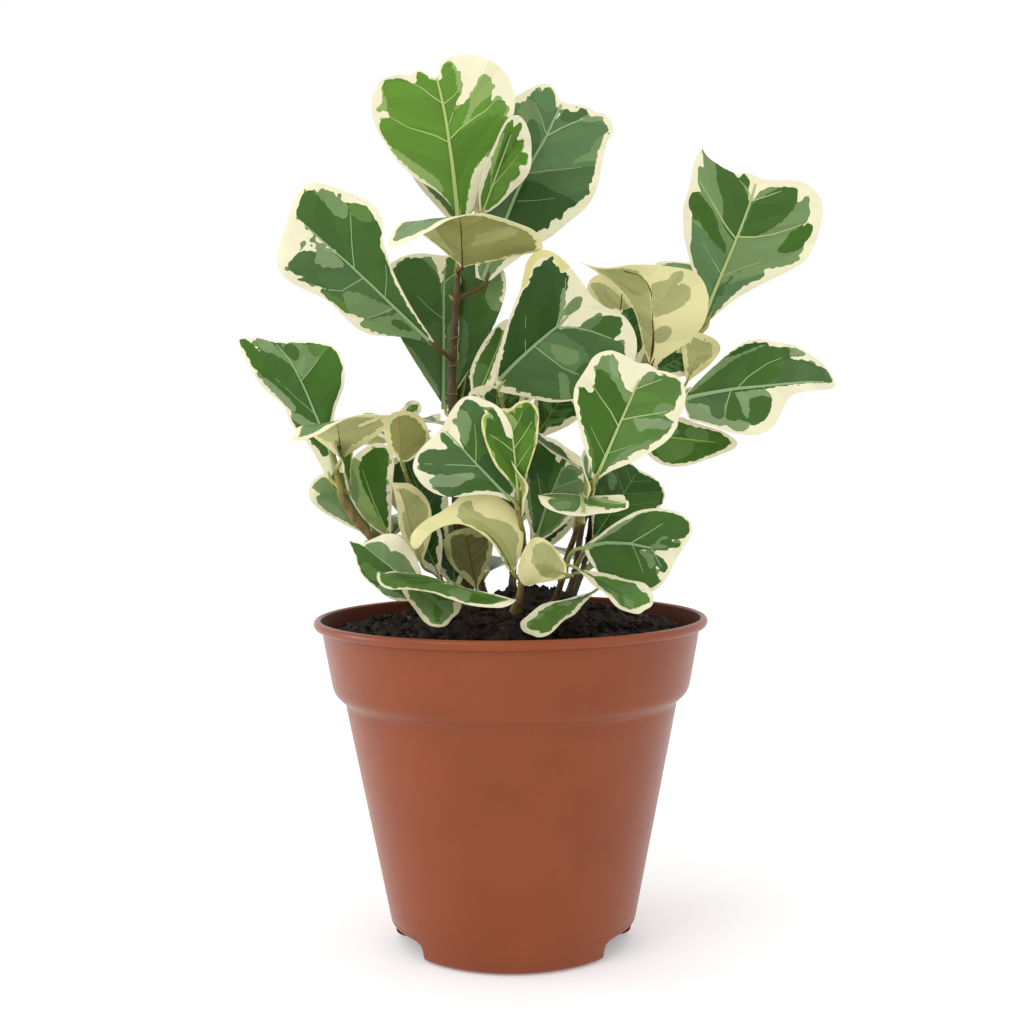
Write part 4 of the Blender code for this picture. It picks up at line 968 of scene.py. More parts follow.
LOOK["a7"] = dict(
    out=[(-0.8, 0), (-2, 4), (-5, 9), (-9, 14), (-13, 19), (-15, 24), (-15.5, 29), (-15.3, 34), (-15.5, 39),
         (-16.5, 44), (-18.5, 49), (-20, 54), (-20.3, 59), (-18, 63.5), (-13, 67), (-7, 70), (-2, 73),
         (3, 75.3), (8, 76), (12, 74.5), (15, 71), (17.3, 67), (19.5, 62), (22, 57), (23, 52.5),
         (22.8, 48.5), (20.5, 44), (16.5, 40.5), (13, 35), (9.5, 28), (6.5, 20), (4, 12), (2.3, 5), (1, 0)],
    zones=[
        ("d", [(0, 2), (0.3, 20), (0.3, 45), (-0.5, 60), (-0.8, 70), (0.5, 71.8), (2.5, 72.3), (4, 73.5),
               (8, 74), (10.5, 72.8), (12, 70), (14.5, 68.5), (15.5, 66), (16, 62), (16.5, 59.5), (18, 58),
               (20, 55.5), (21, 52.5), (20.5, 49.5), (19.5, 45), (17.5, 42), (14.7, 40), (12.3, 35.5),
               (8.6, 28.5), (5.3, 20.5), (3.3, 13), (1.8, 6)]),
        ("U", [(-0.8, 0.5), (-3.5, 6), (-8, 13), (-12, 20), (-13.6, 24.8), (-10, 24.6, 1), (-12, 28),
               (-13.2, 31), (-14.2, 36), (-14.9, 40), (-14.6, 44.3), (-12.5, 43, 1), (-14, 46),
               (-15.5, 49.5), (-17.6, 53.2), (-14.5, 51.2, 1), (-16.8, 55), (-17, 58.5), (-14.5, 60),
               (-10, 60), (-7.5, 58.5), (-5.2, 55, 1), (-4.6, 57.5), (-7, 61.5), (-8.2, 62.7), (-5.6, 60),
               (-4, 57.3), (-3, 58.8), (-4, 61.8), (-2.8, 60.3), (-1.9, 56.8), (-0.8, 52), (0.3, 45),
               (0.6, 20), (0.4, 2)]),
        ("p*", [(-8.2, 53.5), (-6, 54.5), (-4, 58), (-1.5, 58), (-0.6, 47), (-2, 44.5), (-5, 47), (-7.5, 50)]),
        ("m*", [(-15.5, 44.5), (-13.2, 42.5), (-12, 38), (-10.5, 33.5), (-10.5, 31.5), (-13, 30.5),
                (-15, 36), (-15.6, 40)]),
        ("g*", [(-13, 30.5), (-9.5, 37.5), (-6, 35), (-3, 28), (-0.5, 20), (-5, 21.8), (-10, 24.8), (-11, 27)]),
        ("g*", [(-14, 25.3), (-8, 22.8), (-3, 19), (0, 17), (0, 6), (-4, 5), (-9, 13)]),
        ("d*", [(-5, 17.5), (-2, 15.5), (-1, 9), (-4, 12)]),
        ("g*", [(10, 60), (10.6, 66), (11, 72), (12.5, 70), (15.2, 68.3), (16, 64), (16.5, 60), (15, 57),
                (12, 56)]),
        ("m*", [(15.2, 56.8), (15, 53), (16.5, 49.5), (18.5, 47.5), (20.5, 51), (21.5, 53), (18, 58)])],
    veins=[([(0, 0), (0.3, 15), (0.5, 30), (0.3, 45), (-0.4, 55), (-0.9, 66)], 1.3, 0.5),
           ([(0.6, 41), (6, 47), (11, 52), (15, 56)], 0.5, 0.3),
           ([(0.2, 36), (-5, 37.5), (-9, 38.5), (-12.3, 42.5)], 0.45, 0.3),
           ([(0.6, 25), (6, 29), (10, 33)], 0.35, 0.25), ([(0, 20), (-5, 22), (-10, 24.7)], 0.45, 0.3),
           ([(0, 50), (-3, 55), (-5, 60)], 0.35, 0.2)],
    vein="grey", stalk="brown", jag=0.3)

LOOK["h1"] = dict(
    out=[(-2.6, 0), (-3.2, 4), (-4.5, 8), (-8, 13), (-13, 17.5), (-16.5, 22), (-20, 27), (-23, 32.5),
         (-25, 38), (-25.5, 43), (-26, 49), (-27, 55), (-26.5, 60), (-25.8, 62, 1), (-22, 59.8), (-17, 59),
         (-12, 58.6), (-8.5, 58.9), (-6.8, 60.3), (-3, 61), (2, 61), (7, 62), (12, 63.8), (17, 64.2),
         (22, 62.5), (26, 59), (28.2, 54), (28.8, 47), (28.5, 41), (27, 35), (24, 31), (19, 26), (14, 21),
         (9, 15.5), (5, 10), (1.5, 4), (-0.6, 0)],
    zones=[
        ("g", [(-1.8, 1), (-2.5, 8), (-5, 12.5), (-10, 16), (-14, 20.5), (-17, 25), (-18, 29), (-19.5, 32.5),
               (-20.8, 36), (-23.5, 40), (-24.2, 43.5), (-22.5, 45.6), (-21, 46.3, 1), (-23.5, 50),
               (-24.8, 54.6), (-23, 55.5, 1), (-24.5, 59), (-25.6, 62, 1), (-20, 59.6), (-14, 58.8),
               (-9.5, 58.2), (-8, 57, 1), (-7, 59.3), (-5, 59.8), (-3, 58), (-2.3, 54.5), (-0.8, 51),
               (0.4, 50.8), (2.3, 55.5), (5, 58.3), (9, 59.8), (12, 60.8), (15, 61.3), (16.5, 59.5),
               (17, 56), (18.6, 56.8), (19.2, 59), (21, 58.8), (22, 56), (23.4, 53.5), (23.2, 50),
               (22, 47.5, 1), (24, 49.3), (26, 48.5), (26.2, 45), (25, 41.5), (25.3, 38.5), (24, 36),
               (25.2, 35.2), (23, 32.5), (19, 30), (15, 28), (13.3, 27, 1), (14.4, 25.3), (13.5, 23.5),
               (10, 20.5), (7.5, 17.5), (5, 13), (2.5, 8), (0.5, 3)]),
        ("u*", [(-1.8, 2), (-1.2, 28), (-4, 29), (-9, 31), (-14, 33), (-20, 34), (-18.5, 28.5), (-14.5, 20),
                (-9, 14.5), (-4.5, 10)]),
        ("d*", [(-18, 59.5), (-15.5, 52.5), (-10.5, 46), (-8, 39), (-5.5, 36.5), (-0.7, 35), (-0.3, 45),
                (-0.8, 51), (-4, 54.5), (-8, 58.5), (-13, 59.5)]),
        ("v*", [(-25, 42), (-22.8, 46), (-19.5, 45), (-14, 42), (-10.5, 39), (-8, 35), (-4, 31.5), (-3, 28.5),
                (-6, 29.5), (-10, 31), (-14, 33.5), (-17, 35.5), (-21.5, 36.5)]),
        ("d*", [(-7.2, 59), (-5, 60.4), (-3, 58), (-2.3, 55), (-4.5, 55.5), (-7.8, 56)]),
        ("d*", [(0.8, 37), (1, 50), (4, 54), (8, 58.5), (12, 61.4), (15.4, 62), (17.3, 58.5), (16.3, 52),
                (13.5, 46.5), (10, 42), (6, 38.5), (3, 37)]),
        ("v*", [(17.3, 40), (18.5, 44), (21.5, 47.3), (24.5, 50), (27, 47), (25.8, 42), (23.5, 38.5), (20, 36),
                (16, 35), (15.8, 36.2)]),
        ("u*", [(0.5, 15), (6, 20), (12, 24.5), (15, 25.8), (13.5, 22.6), (8, 17), (3, 8), (0.3, 4)]),
        ("U*", [(0.6, 16), (2.5, 20.5), (5, 24.5), (3.7, 21), (1.6, 17.2)]),
        ("U*", [(-0.8, 1), (-0.2, 10), (1.8, 14), (0.3, 17), (-1.2, 14), (-1.8, 4)])],
    veins=[([(-2, 0), (-2, 10), (-1.5, 20), (-0.8, 30), (-0.2, 42), (0, 52), (-0.3, 58)], 1.4, 0.7),
           ([(-0.7, 35), (-6, 38), (-12, 42.5), (-17, 46), (-23, 50)], 0.7, 0.35),
           ([(-0.2, 36), (6, 38), (12, 41), (17, 44.5), (21.5, 48)], 0.7, 0.4),
           ([(0.2, 51), (5, 54.5), (10, 58.5)], 0.55, 0.3), ([(-0.2, 52), (-3, 55), (-7.5, 57)], 0.4, 0.25),
           ([(-1.5, 20), (-8, 25), (-13, 29)], 0.3, 0.15), ([(-1.5, 19), (5, 25), (12, 30)], 0.3, 0.15)],
    vein="pale", jag=0.3)

LOOK["f1"] = dict(
    out=[(-2.6, -0.5), (-4, 1.5), (-7, 5.5), (-10.5, 10.5), (-13.8, 16), (-16, 20.5), (-18, 25),
         (-20.5, 30), (-23.5, 34.5), (-26, 38), (-26.8, 42), (-25.3, 45.5), (-21, 48), (-15, 49), (-9, 48.8),
         (-4, 48.2), (2, 47.5), (7, 47.9), (11, 49.5), (15, 50.3), (20, 49.3), (25, 46.5), (29, 42),
         (31, 37), (30.5, 30), (28.5, 24), (25.5, 19), (22.5, 14), (18, 9), (13, 5.5), (8, 2.4),
         (3.5, -0.8), (1.5, -2)],
    zones=[
        ("y", [(-28, 36), (-28, 48), (-14, 51), (-14, 45), (-18, 46), (-23, 44), (-23.5, 39), (-20, 33),
               (-22, 31)]),
        ("U", [(-0.8, 1.5), (-3, 3), (-6.5, 7.5), (-10, 12.5), (-13.5, 18.5), (-16.5, 24.5), (-19, 30),
               (-19.5, 33, 1), (-21, 36), (-22.5, 39), (-21.5, 41, 1), (-22, 43), (-20, 45), (-18, 45.5),
               (-14, 44.5), (-12.5, 46.5), (-10, 45.5), (-8, 43.5), (-7, 41.5), (-4, 38), (-2, 34),
               (-0.8, 31), (0.5, 30), (3, 33), (6, 36.5), (6.5, 40), (8, 43.5), (10, 46), (12.5, 48),
               (15.5, 48.5), (17.5, 46.5), (18.3, 43.5), (17.8, 41.3, 1), (20, 42.3), (22.5, 42.5),
               (25, 40.5), (28, 37), (29, 30), (27, 23), (24, 17), (21, 13.5), (16, 9), (10, 5.5), (5, 3),
               (1.5, 1.5)]),
        ("D*", [(-1.4, 3), (-1.5, 20), (-0.8, 31), (-4, 36.5), (-8, 42), (-12, 47), (-20, 47), (-24, 41),
                (-23, 37), (-20, 31), (-15, 19), (-7, 7), (-3, 2)]),
        ("g", [(-3.2, 37), (-3.4, 42), (-1.8, 44.5), (0, 43.5), (0.7, 40), (0, 36.5), (-1.5, 35)]),
        ("p*", [(-7.5, 42), (-4.5, 40), (-2.2, 36), (-1, 32), (-3, 33.5), (-6, 37.5), (-9, 41.5)]),
        # painted sheen: the bluish patch on the right half, with the paler grey-green patch and streaks in it,
        # stands for gloss catching the light
        ("u*", [(0, 19.5), (6, 20.3), (12, 21), (18, 23), (18.5, 28), (14, 31.5), (8, 31), (3, 30), (-0.5, 27)]),
        ("g*", [(3, 24), (8, 27.5), (12, 29), (14, 26), (12, 22.5), (7, 21.8)]),
        ("g*", [(12, 18.5), (15, 16.5), (17.5, 13.8), (20, 12.5), (22, 15), (19.5, 17), (17, 19.5), (14, 20)]),
        ("u*", [(6.2, 34.5), (6.4, 40), (9, 45), (10, 42), (9.2, 38)]),
        ("d*", [(9.3, 38.5), (10.2, 42), (9.5, 46), (13, 49), (18, 48), (19, 43), (16, 41), (12, 39.5)]),
        ("d*", [(16, 24), (18, 32), (17, 36), (20, 38), (27, 41), (32, 36), (28, 23), (22, 20)])],
    veins=[([(-1.8, 1), (-2, 10), (-1.5, 20), (-0.8, 27), (-0.3, 31), (-0.2, 36)], 1.5, 0.8),
           ([(-0.2, 30), (5, 35), (10, 38), (17.5, 41.2)], 0.7, 0.4),
           ([(-1.3, 19.3), (5, 20), (12, 21), (18, 23.5)], 0.55, 0.3),
           ([(-0.8, 30.5), (-4, 36.8), (-8, 41.8), (-11, 45)], 0.55, 0.3),
           ([(-1.8, 15), (-8, 21), (-12, 25)], 0.3, 0.15)],
    vein="grey", jag=0.3)

LOOK["g1"] = dict(
    out=[(-0.8, -0.5), (-2, 2.5), (-6, 7), (-10.5, 12.5), (-14.5, 18), (-17.8, 22.5), (-19.3, 27),
         (-18.8, 31), (-18, 35), (-17.5, 38.5), (-15.5, 41.5), (-12, 43.5), (-7, 43.8), (-2, 43.3),
         (1.5, 44.3), (5, 43.6), (8, 44), (12, 44), (15, 42.5), (17.5, 39.5), (18.8, 35), (18.6, 31),
         (19.2, 28), (18, 23), (15.5, 18.5), (12.5, 14.5), (9, 10), (5, 6), (2.3, 2.5), (0.8, -0.5)],
    zones=[
        ("v", [(-0.8, 1.5), (-4, 6), (-7, 10.5), (-10, 14.5), (-14, 19.5), (-16.5, 24), (-17.8, 27),
               (-16.5, 28.2), (-13.5, 27.5), (-12.5, 29, 1), (-14, 32), (-14.8, 36), (-14.5, 40),
               (-13, 41.4), (-10, 41), (-7, 38), (-4, 35), (-1.5, 33), (0.4, 33), (0.5, 20), (0.4, 3)]),
        ("m*", [(-14.5, 18.5), (-9, 14.5), (-6, 11), (-2.5, 5.5), (-1, 1.5), (-3.5, 4.5), (-8, 10), (-12, 15)]),
        ("g*", [(-16, 38), (-14.5, 42), (-11, 42), (-8, 38.5), (-4, 35), (0, 33.2), (-0.3, 29), (-4, 31.5),
                (-8, 34.5), (-12, 36), (-15, 35.5)]),
        ("p*", [(-11.5, 41.5), (-9, 40), (-6, 36), (-8, 36), (-11, 38.5)]),
        ("m", [(0.5, 2), (0.5, 20), (0.8, 34), (1.2, 38), (2, 41), (4, 42.5), (6, 42), (8, 42.5), (12, 43),
               (14.5, 42), (15.5, 39), (15.6, 34), (14.8, 31.5), (13, 30, 1), (15, 29.3), (17, 28.5),
               (17.5, 26), (15.5, 22.5), (13, 18.5), (9.5, 14.5), (6, 10), (3, 6), (1.2, 2)]),
        ("g*", [(9.5, 30), (11, 33.5), (15.5, 34), (15.5, 31), (12, 29)]),
        ("p*", [(4, 25), (8, 26.5), (13, 28.5), (17.5, 28.5), (16, 26), (11, 24), (7, 21.6), (6, 23)]),
        ("g*", [(4.5, 12), (9, 17), (13.5, 21), (15.5, 21.5), (11, 15), (6, 8.5), (3, 5.5)]),
        ("g*", [(1, 36), (1.8, 41.5), (4.5, 43), (5.5, 40), (3.5, 37)])],
    veins=[([(0.3, -0.5), (0.4, 20), (0.8, 38)], 1.3, 0.6), ([(0.8, 34.5), (4, 37.5), (8, 41)], 0.45, 0.25),
           ([(0.6, 23), (5, 26), (10, 29), (14, 31.5)], 0.55, 0.3),
           ([(0.2, 20.5), (-4, 24), (-9, 27), (-13, 29.5)], 0.5, 0.25),
           ([(0.3, 10), (5, 14), (9, 18)], 0.25, 0.12), ([(0.2, 9), (-5, 13.5), (-9, 17)], 0.25, 0.12)],
    vein="pale", jag=0.3)

LOOK["b1"] = dict(
    out=[(-1, 0), (-2, 5), (-3, 11), (-4.5, 17), (-6.3, 22), (-6.8, 26), (-6.2, 30), (-7, 34), (-8.8, 39),
         (-9.8, 44), (-9.8, 50), (-9.2, 56), (-8.5, 60), (-7.2, 64, 1), (-4.5, 62), (-1.5, 60), (1.5, 56.5),
         (5, 53), (9, 50.5), (14, 47.3), (18, 44.5), (21.3, 41.5), (22.6, 38), (22, 34.5), (19.5, 30),
         (16, 26.5), (12, 23.5), (9, 20), (6.5, 15), (4.5, 9), (2.5, 4), (1, 0)],
    zones=[
        ("d", [(-1, 12), (-3, 17), (-5, 21), (-5.8, 26.5), (-4.5, 28), (-5.8, 33), (-7.6, 39), (-8.6, 43.5),
               (-7.6, 46.5), (-8.7, 51), (-7.8, 57), (-7.2, 63), (-5, 62.5), (-3.8, 58), (-3.2, 53.5, 1),
               (-2.4, 58), (-1, 60), (1.5, 56), (5, 52.6), (9, 49.8), (14, 46.6), (18, 43.8), (21, 41),
               (22, 37.5), (21, 34), (18.5, 30.3), (15, 27), (11, 23.8), (8, 20.5), (5, 15), (3, 9), (0, 8)]),
        ("p*", [(-6, 27), (-4.5, 23.5), (-1.5, 20), (2.5, 17), (6, 16.5), (7.5, 18.5), (4, 19.5), (0.5, 22),
                (-3, 27)]),
        ("p*", [(-8.8, 44.5), (-7.6, 45.5), (-5.6, 41), (-3.6, 35), (-2.4, 29), (-4.2, 28), (-6, 33), (-8, 39)]),
        ("v*", [(-9, 50), (-7.5, 62), (-5, 62), (-3.6, 54), (-3, 48), (-6, 45), (-8, 48)]),
        ("g*", [(-1.8, 60), (1, 57), (3.4, 51), (4.4, 42), (3, 46), (0.5, 51), (-2, 54)]),
        ("g*", [(5, 37.5), (10, 38.5), (15.5, 41), (13.5, 46), (9, 49.8), (5.4, 52.4), (4.4, 46)]),
        ("d*", [(5, 50.5), (7.2, 51), (9.2, 48.5), (9, 45.2), (6.2, 44), (4.6, 47)]),
        ("m*", [(13.4, 46), (18, 43.5), (20, 41.2), (15.5, 40.5), (13, 42.5)]),
        ("v*", [(5, 36.8), (10, 38.3), (16, 40.6), (21.5, 41), (23, 36), (19, 30), (12, 24), (7.5, 19),
                (4.2, 23), (3.7, 30)])],
    veins=[([(2.4, 1), (3, 12), (3.2, 25), (4, 36), (4.4, 46), (3.5, 53)], 1.1, 0.4),
           ([(4.3, 37), (10, 38.6), (16, 40.8)], 0.4, 0.2), ([(3, 24), (-1, 33), (-4, 43)], 0.3, 0.15)],
    vein="grey", jag=0.25)

LOOK["h4"] = dict(
    out=[(-1, 0), (-3, 2.5), (-6, 6.5), (-10, 12), (-13.5, 17), (-16.5, 22), (-18.6, 27), (-18.6, 32),
         (-17.3, 37), (-16.3, 42), (-15, 47), (-12.3, 51.5), (-10, 55), (-6.5, 58.5), (-3, 60.2),
         (0, 60.6), (2, 59.5), (3, 56), (3.2, 50), (3.4, 45), (4, 41), (6, 38), (9, 36), (12, 34),
         (15, 31.5), (17, 28), (17.6, 24), (16.5, 19), (14.5, 14), (12, 9.5), (9.8, 5), (8, 1.5),
         (4, 0.2), (1, 0)],
    zones=[
        ("d", [(-0.8, 1), (-4, 4), (-8, 9), (-12, 15), (-15, 20), (-17, 25), (-17.3, 31), (-16.8, 33.8),
               (-15.5, 34.2, 1), (-14.9, 38), (-14.7, 43), (-13.7, 47.5), (-12, 49.7), (-10.8, 47),
               (-10.7, 42), (-10, 40, 1), (-9.5, 44), (-8.7, 50), (-6.8, 54.5), (-6, 58, 1), (-3, 59.4),
               (-0.2, 59.4), (0.3, 56), (0.1, 45), (0.3, 33), (0.8, 30), (0.8, 20), (0.8, 8), (0.6, 1)]),
        ("D*", [(-17.2, 33.5), (-15.8, 31), (-14.2, 25), (-12, 20), (-13.5, 19), (-16, 23.5), (-17.4, 29)]),
        ("g*", [(-16.2, 33.5), (-14.6, 29), (-12.5, 22), (-9, 15), (-5, 8), (-2, 3), (-5, 4.5), (-9, 10),
                (-13, 17), (-13.7, 22), (-15.7, 29)]),
        ("p*", [(-14.6, 42), (-13.7, 47.5), (-12, 49.7), (-11.1, 46), (-11.2, 41.3), (-13, 43)]),
        ("U*", [(-9.5, 42), (-6.5, 54.5), (-5.5, 58.5), (0, 59.5), (0, 45), (-1.3, 30), (-3, 36), (-6, 38),
                (-8, 36)]),
        ("p", [(0.3, 1), (0.2, 10), (0.3, 20), (0.4, 30), (2.5, 32), (5, 32.5), (9, 31.3), (12.5, 28.6),
               (13.8, 25), (13.7, 23, 1), (15.2, 21.5), (15.5, 19), (14, 16), (12, 14.3, 1), (12.3, 12),
               (10.5, 8.5), (8.7, 4), (7.5, 1.8), (4, 0.6)]),
        ("d*", [(3, 30), (5, 32.4), (9, 31), (12.5, 28.5), (13.8, 25), (13.3, 23.3), (11, 22.6), (8.5, 23.5),
                (6, 24), (3.6, 24.5), (3, 27)]),
        ("d*", [(0, 19), (4, 20.5), (8, 21), (11, 22.5), (13, 23), (11, 20), (11, 17), (9.5, 14.6), (5, 15.6),
                (1, 17.5)]),
        ("U*", [(-0.3, 16.5), (4, 15), (9, 13.8), (9, 11), (7, 9.5), (4, 9), (2.4, 5), (1.4, 1), (0, 4)])],
    veins=[([(-0.5, 0), (-1, 10), (-1.2, 20), (-0.7, 30), (-0.3, 42), (0, 55)], 1.5, 0.5),
           ([(-1, 20), (-5, 25), (-9, 33), (-10.8, 40)], 0.5, 0.25),
           ([(-0.8, 18), (4, 15.8), (9.5, 14.2)], 0.5, 0.25), ([(-0.4, 30), (3, 31.5)], 0.3, 0.15)],
    vein="grey", jag=0.25)

LOOK["h3"] = dict(
    out=[(-0.8, 0), (-4, 4), (-8, 8), (-12, 11.5), (-15.5, 15.5), (-17.5, 20), (-18, 25), (-17.7, 29),
         (-16, 33), (-13.5, 36), (-10, 38.5), (-6, 41.5), (-2, 45), (1, 47.5), (5, 49.5), (10, 50.5),
         (15, 51.5), (20, 53), (25, 56, 1), (24, 50.5), (21.5, 45.5), (18.5, 40.5), (15.6, 35), (13, 30),
         (11, 25), (9.5, 20), (8, 14), (6, 8), (4, 4), (1, 0)],
    zones=[
        ("q", [(-11, 36.8), (-9, 37.5), (-4, 36.2), (-1, 37), (1.6, 36), (2.4, 30), (2.8, 22), (-1, 22),
               (-5, 23), (-9, 25), (-11.5, 27), (-12, 30), (-10, 32), (-7.5, 33), (-10.3, 33.6)]),
        ("q", [(-4.3, 15), (-2.5, 17), (0, 17), (2.4, 15), (2.2, 10), (0.5, 9.5), (-2.5, 11), (-4, 13)]),
        ("q", [(1.8, 3), (2.8, 10), (3.5, 20), (3.3, 28), (2.4, 36), (2.8, 42), (4, 46), (8, 48.8),
               (13, 49.8), (18, 50.5), (19.4, 48), (16.8, 42.5), (14, 36), (12, 30), (10, 24), (8.5, 18),
               (6.5, 11), (4, 5)]),
        ("o*", [(3, 40), (5, 46), (10, 49), (15, 49.5), (15, 43), (12, 37), (9, 32), (6, 32), (3.4, 34)])],
    veins=[([(0.8, 0), (1.5, 5), (2.5, 12), (3.3, 20), (3.1, 26), (2.2, 33), (2.4, 39), (4, 43.5),
             (8, 47)], 1.5, 0.7)],
    ground="r", rib_back="brown", stalk="brown", jag=0.3)

LOOK["a9"] = dict(
    zones=[
        ("U", [(-0.8, 1), (-5, 6), (-10, 13), (-15, 21), (-19, 28), (-22, 37), (-23.3, 46), (-21.5, 54),
               (-16, 59.5), (-9, 61), (-4, 61.5), (0.4, 61), (0.4, 30), (0.4, 4)]),
        ("d*", [(-20, 52), (-17.5, 45), (-12, 38), (-7, 33), (-4, 36), (-2, 42), (-2, 50), (-6, 56),
                (-9, 61), (-14, 62), (-19, 57)]),
        ("g*", [(-9, 61), (-5, 57), (-2, 52), (-1, 42), (-0.8, 30), (-0.8, 10), (1, 8), (1.2, 30), (1, 50),
                (-1, 60)]),
        ("c", [(-6, 63), (-3.2, 57), (-1.7, 51), (-0.2, 54), (0, 63)]),
        ("d", [(0.4, 2), (3, 5), (8, 13), (14, 21.5), (19.5, 29.5), (22, 34), (24.5, 39), (22, 43),
               (23.7, 48), (22, 54), (18, 59), (10, 62), (2, 61.5), (0.4, 50)]),
        ("u*", [(1, 5), (6, 13), (9, 22), (9, 33), (5, 38), (1, 32)]),
        ("v*", [(0, 42), (5, 44), (10, 50), (9, 58), (3, 62), (0, 58)]),
        ("v*", [(11, 40), (14, 44), (17, 44), (18, 40), (15, 37)]),
        ("g*", [(17, 48), (21.5, 54), (23.7, 48), (22.5, 43), (24, 39.5), (20, 38), (17, 42)]),
        ("g*", [(-4, 6), (-9, 13), (-13, 19), (-17, 26), (-13, 24), (-9, 18), (-5, 12), (-2, 6)])],
    veins=[([(-0.8, 0), (-0.5, 20), (-0.5, 40), (0, 57)], 1.5, 0.6), ([(0, 51), (5, 55), (9, 58)], 0.5, 0.3),
           ([(-0.6, 36), (-6, 40), (-11, 45)], 0.35, 0.2), ([(-0.6, 22), (5, 27), (10, 31)], 0.3, 0.15)],
    vein="grey", jag=0.3)

LOOK["e1"] = dict(
    out=[(-1, 0), (-3, 4.5), (-6, 8.5), (-10, 12), (-14, 15), (-17.5, 19), (-19.3, 24), (-19.2, 29),
         (-17.5, 33), (-13, 35.3), (-7, 35.8), (-2, 35.8), (1, 36.3), (4, 37.4), (8, 38.3), (12, 38.3),
         (15.3, 36.5), (17.3, 33), (19, 29.5), (19.5, 26), (18, 20), (14, 14), (9, 8), (5, 3), (1, 0)],
    zones=[
        ("U", [(-0.8, 4), (-3, 7), (-5.5, 10), (-10, 13.3), (-15, 16), (-16.7, 19), (-17.2, 23),
               (-16.9, 25.8), (-14, 25.3, 1), (-15.6, 28), (-16.2, 31), (-14, 33.5), (-10, 34), (-7.5, 32),
               (-5.8, 30.2), (-3.8, 28.5, 1), (-3.7, 31.5), (-2.6, 34.3), (-1.2, 33.5), (-1, 30),
               (-0.4, 25), (0.2, 15), (0.2, 4)]),
        ("p*", [(-17.2, 23), (-16.7, 25.8), (-13, 25), (-10, 22), (-6, 19), (-3, 16), (-7, 15.5), (-11, 17),
                (-14, 20)]),
        ("d*", [(-15, 16.5), (-9, 17), (-4, 14.5), (-1.5, 12), (-1.5, 5), (-5, 10)]),
        ("d", [(-0.4, 2), (-0.4, 20), (0.2, 26), (2, 29), (4, 32), (6, 35), (9, 36.4), (12, 37), (14.3, 35.5),
               (15, 32), (14.5, 29, 1), (17, 28.8), (17.6, 26), (15, 20), (11, 13), (6, 6), (2, 2)]),
        ("g*", [(1, 26), (2.5, 30), (5, 34.2), (8, 36.2), (10, 34), (8.6, 30), (5, 27.5), (3, 25)]),
        ("U*", [(10, 36.5), (12, 37), (14.4, 35), (14.8, 31), (12, 28), (9.3, 29), (10.7, 33)]),
        ("v*", [(0.6, 18), (3, 20), (6, 23), (8, 26), (9, 28.5), (5, 27), (1.5, 25)]),
        ("D*", [(0.3, 3), (0.5, 17), (3, 19), (6, 18), (7, 14), (5, 8), (2, 3)])],
    veins=[([(-0.5, 0), (-0.5, 18), (-0.3, 27), (-0.3, 34)], 1.2, 0.4),
           ([(-0.4, 17), (-5, 22), (-10, 27), (-14, 31)], 0.45, 0.2), ([(0, 19), (5, 24), (9, 29)], 0.4, 0.2)],
    vein="grey", jag=0.25)

LOOK["e2"] = dict(
    out=[(-1, 0), (-3, 4), (-6.5, 9), (-8.3, 13), (-9.8, 18), (-10.6, 23), (-10.3, 26.5), (-8.5, 28.9),
         (-5, 29.6), (-2, 29.7), (0, 29.4), (3, 31.2), (6, 31.6), (8.7, 30), (10.2, 27), (9.7, 22),
         (8.2, 16), (5.7, 10), (3.5, 5), (1, 0)],
    zones=[
        ("k", ("margin", [-1, -0.3, 0.1, 0.5, 1], [0.4, 0.9, 0.8, 0.6, 0.4])),
        ("n", [(-0.8, 2), (-2.5, 5), (-4.5, 8), (-6.8, 11.5), (-6.7, 14, 1), (-8.7, 17), (-9.6, 21),
               (-9, 24), (-8.7, 27), (-6.3, 25.5, 1), (-6.2, 28), (-4.6, 26.3, 1), (-3.5, 28.5),
               (-2, 26.8), (-1.6, 25, 1), (-0.5, 26.5), (0, 28.7), (2, 27, 1), (2.3, 29.7), (4.5, 28.5, 1),
               (5, 30.9), (7.5, 30.2), (9.1, 27), (8.2, 25, 1), (8.7, 21.5), (7.7, 18.8, 1), (7, 15),
               (4.8, 9.5), (2.8, 5), (1, 1.5)]),
        ("v*", [(-7, 18.5), (-3, 18.5), (-0.5, 14), (-1, 8), (-4, 12)]),
        ("v*", [(-8.5, 25.5), (-5, 25), (-1, 21), (-1, 18), (-5, 20), (-9, 21)]),
        ("B*", [(1, 8), (2, 14), (5, 21), (8, 21), (6, 13), (3, 7)]),
        ("v*", [(3, 24), (5, 28.5), (8, 29), (8.5, 24), (6, 22)]),
        ("k*", [(-2.5, 24.5), (0, 21.5), (2, 24.5), (0, 27.5)])],
    veins=[([(0, 0), (0.1, 15), (0, 27)], 0.9, 0.4), ([(0, 8), (3.5, 12.5), (6.5, 16)], 0.3, 0.15),
           ([(0, 15), (4, 19.5), (7.5, 24)], 0.35, 0.2), ([(0, 14), (-4, 18), (-8, 21)], 0.35, 0.2),
           ([(0, 21), (-3, 24.5), (-5, 26)], 0.3, 0.15), ([(0, 21), (3, 25), (4.5, 28)], 0.3, 0.15)],
    vein="young", stalk="green", jag=0.2, ground="y")

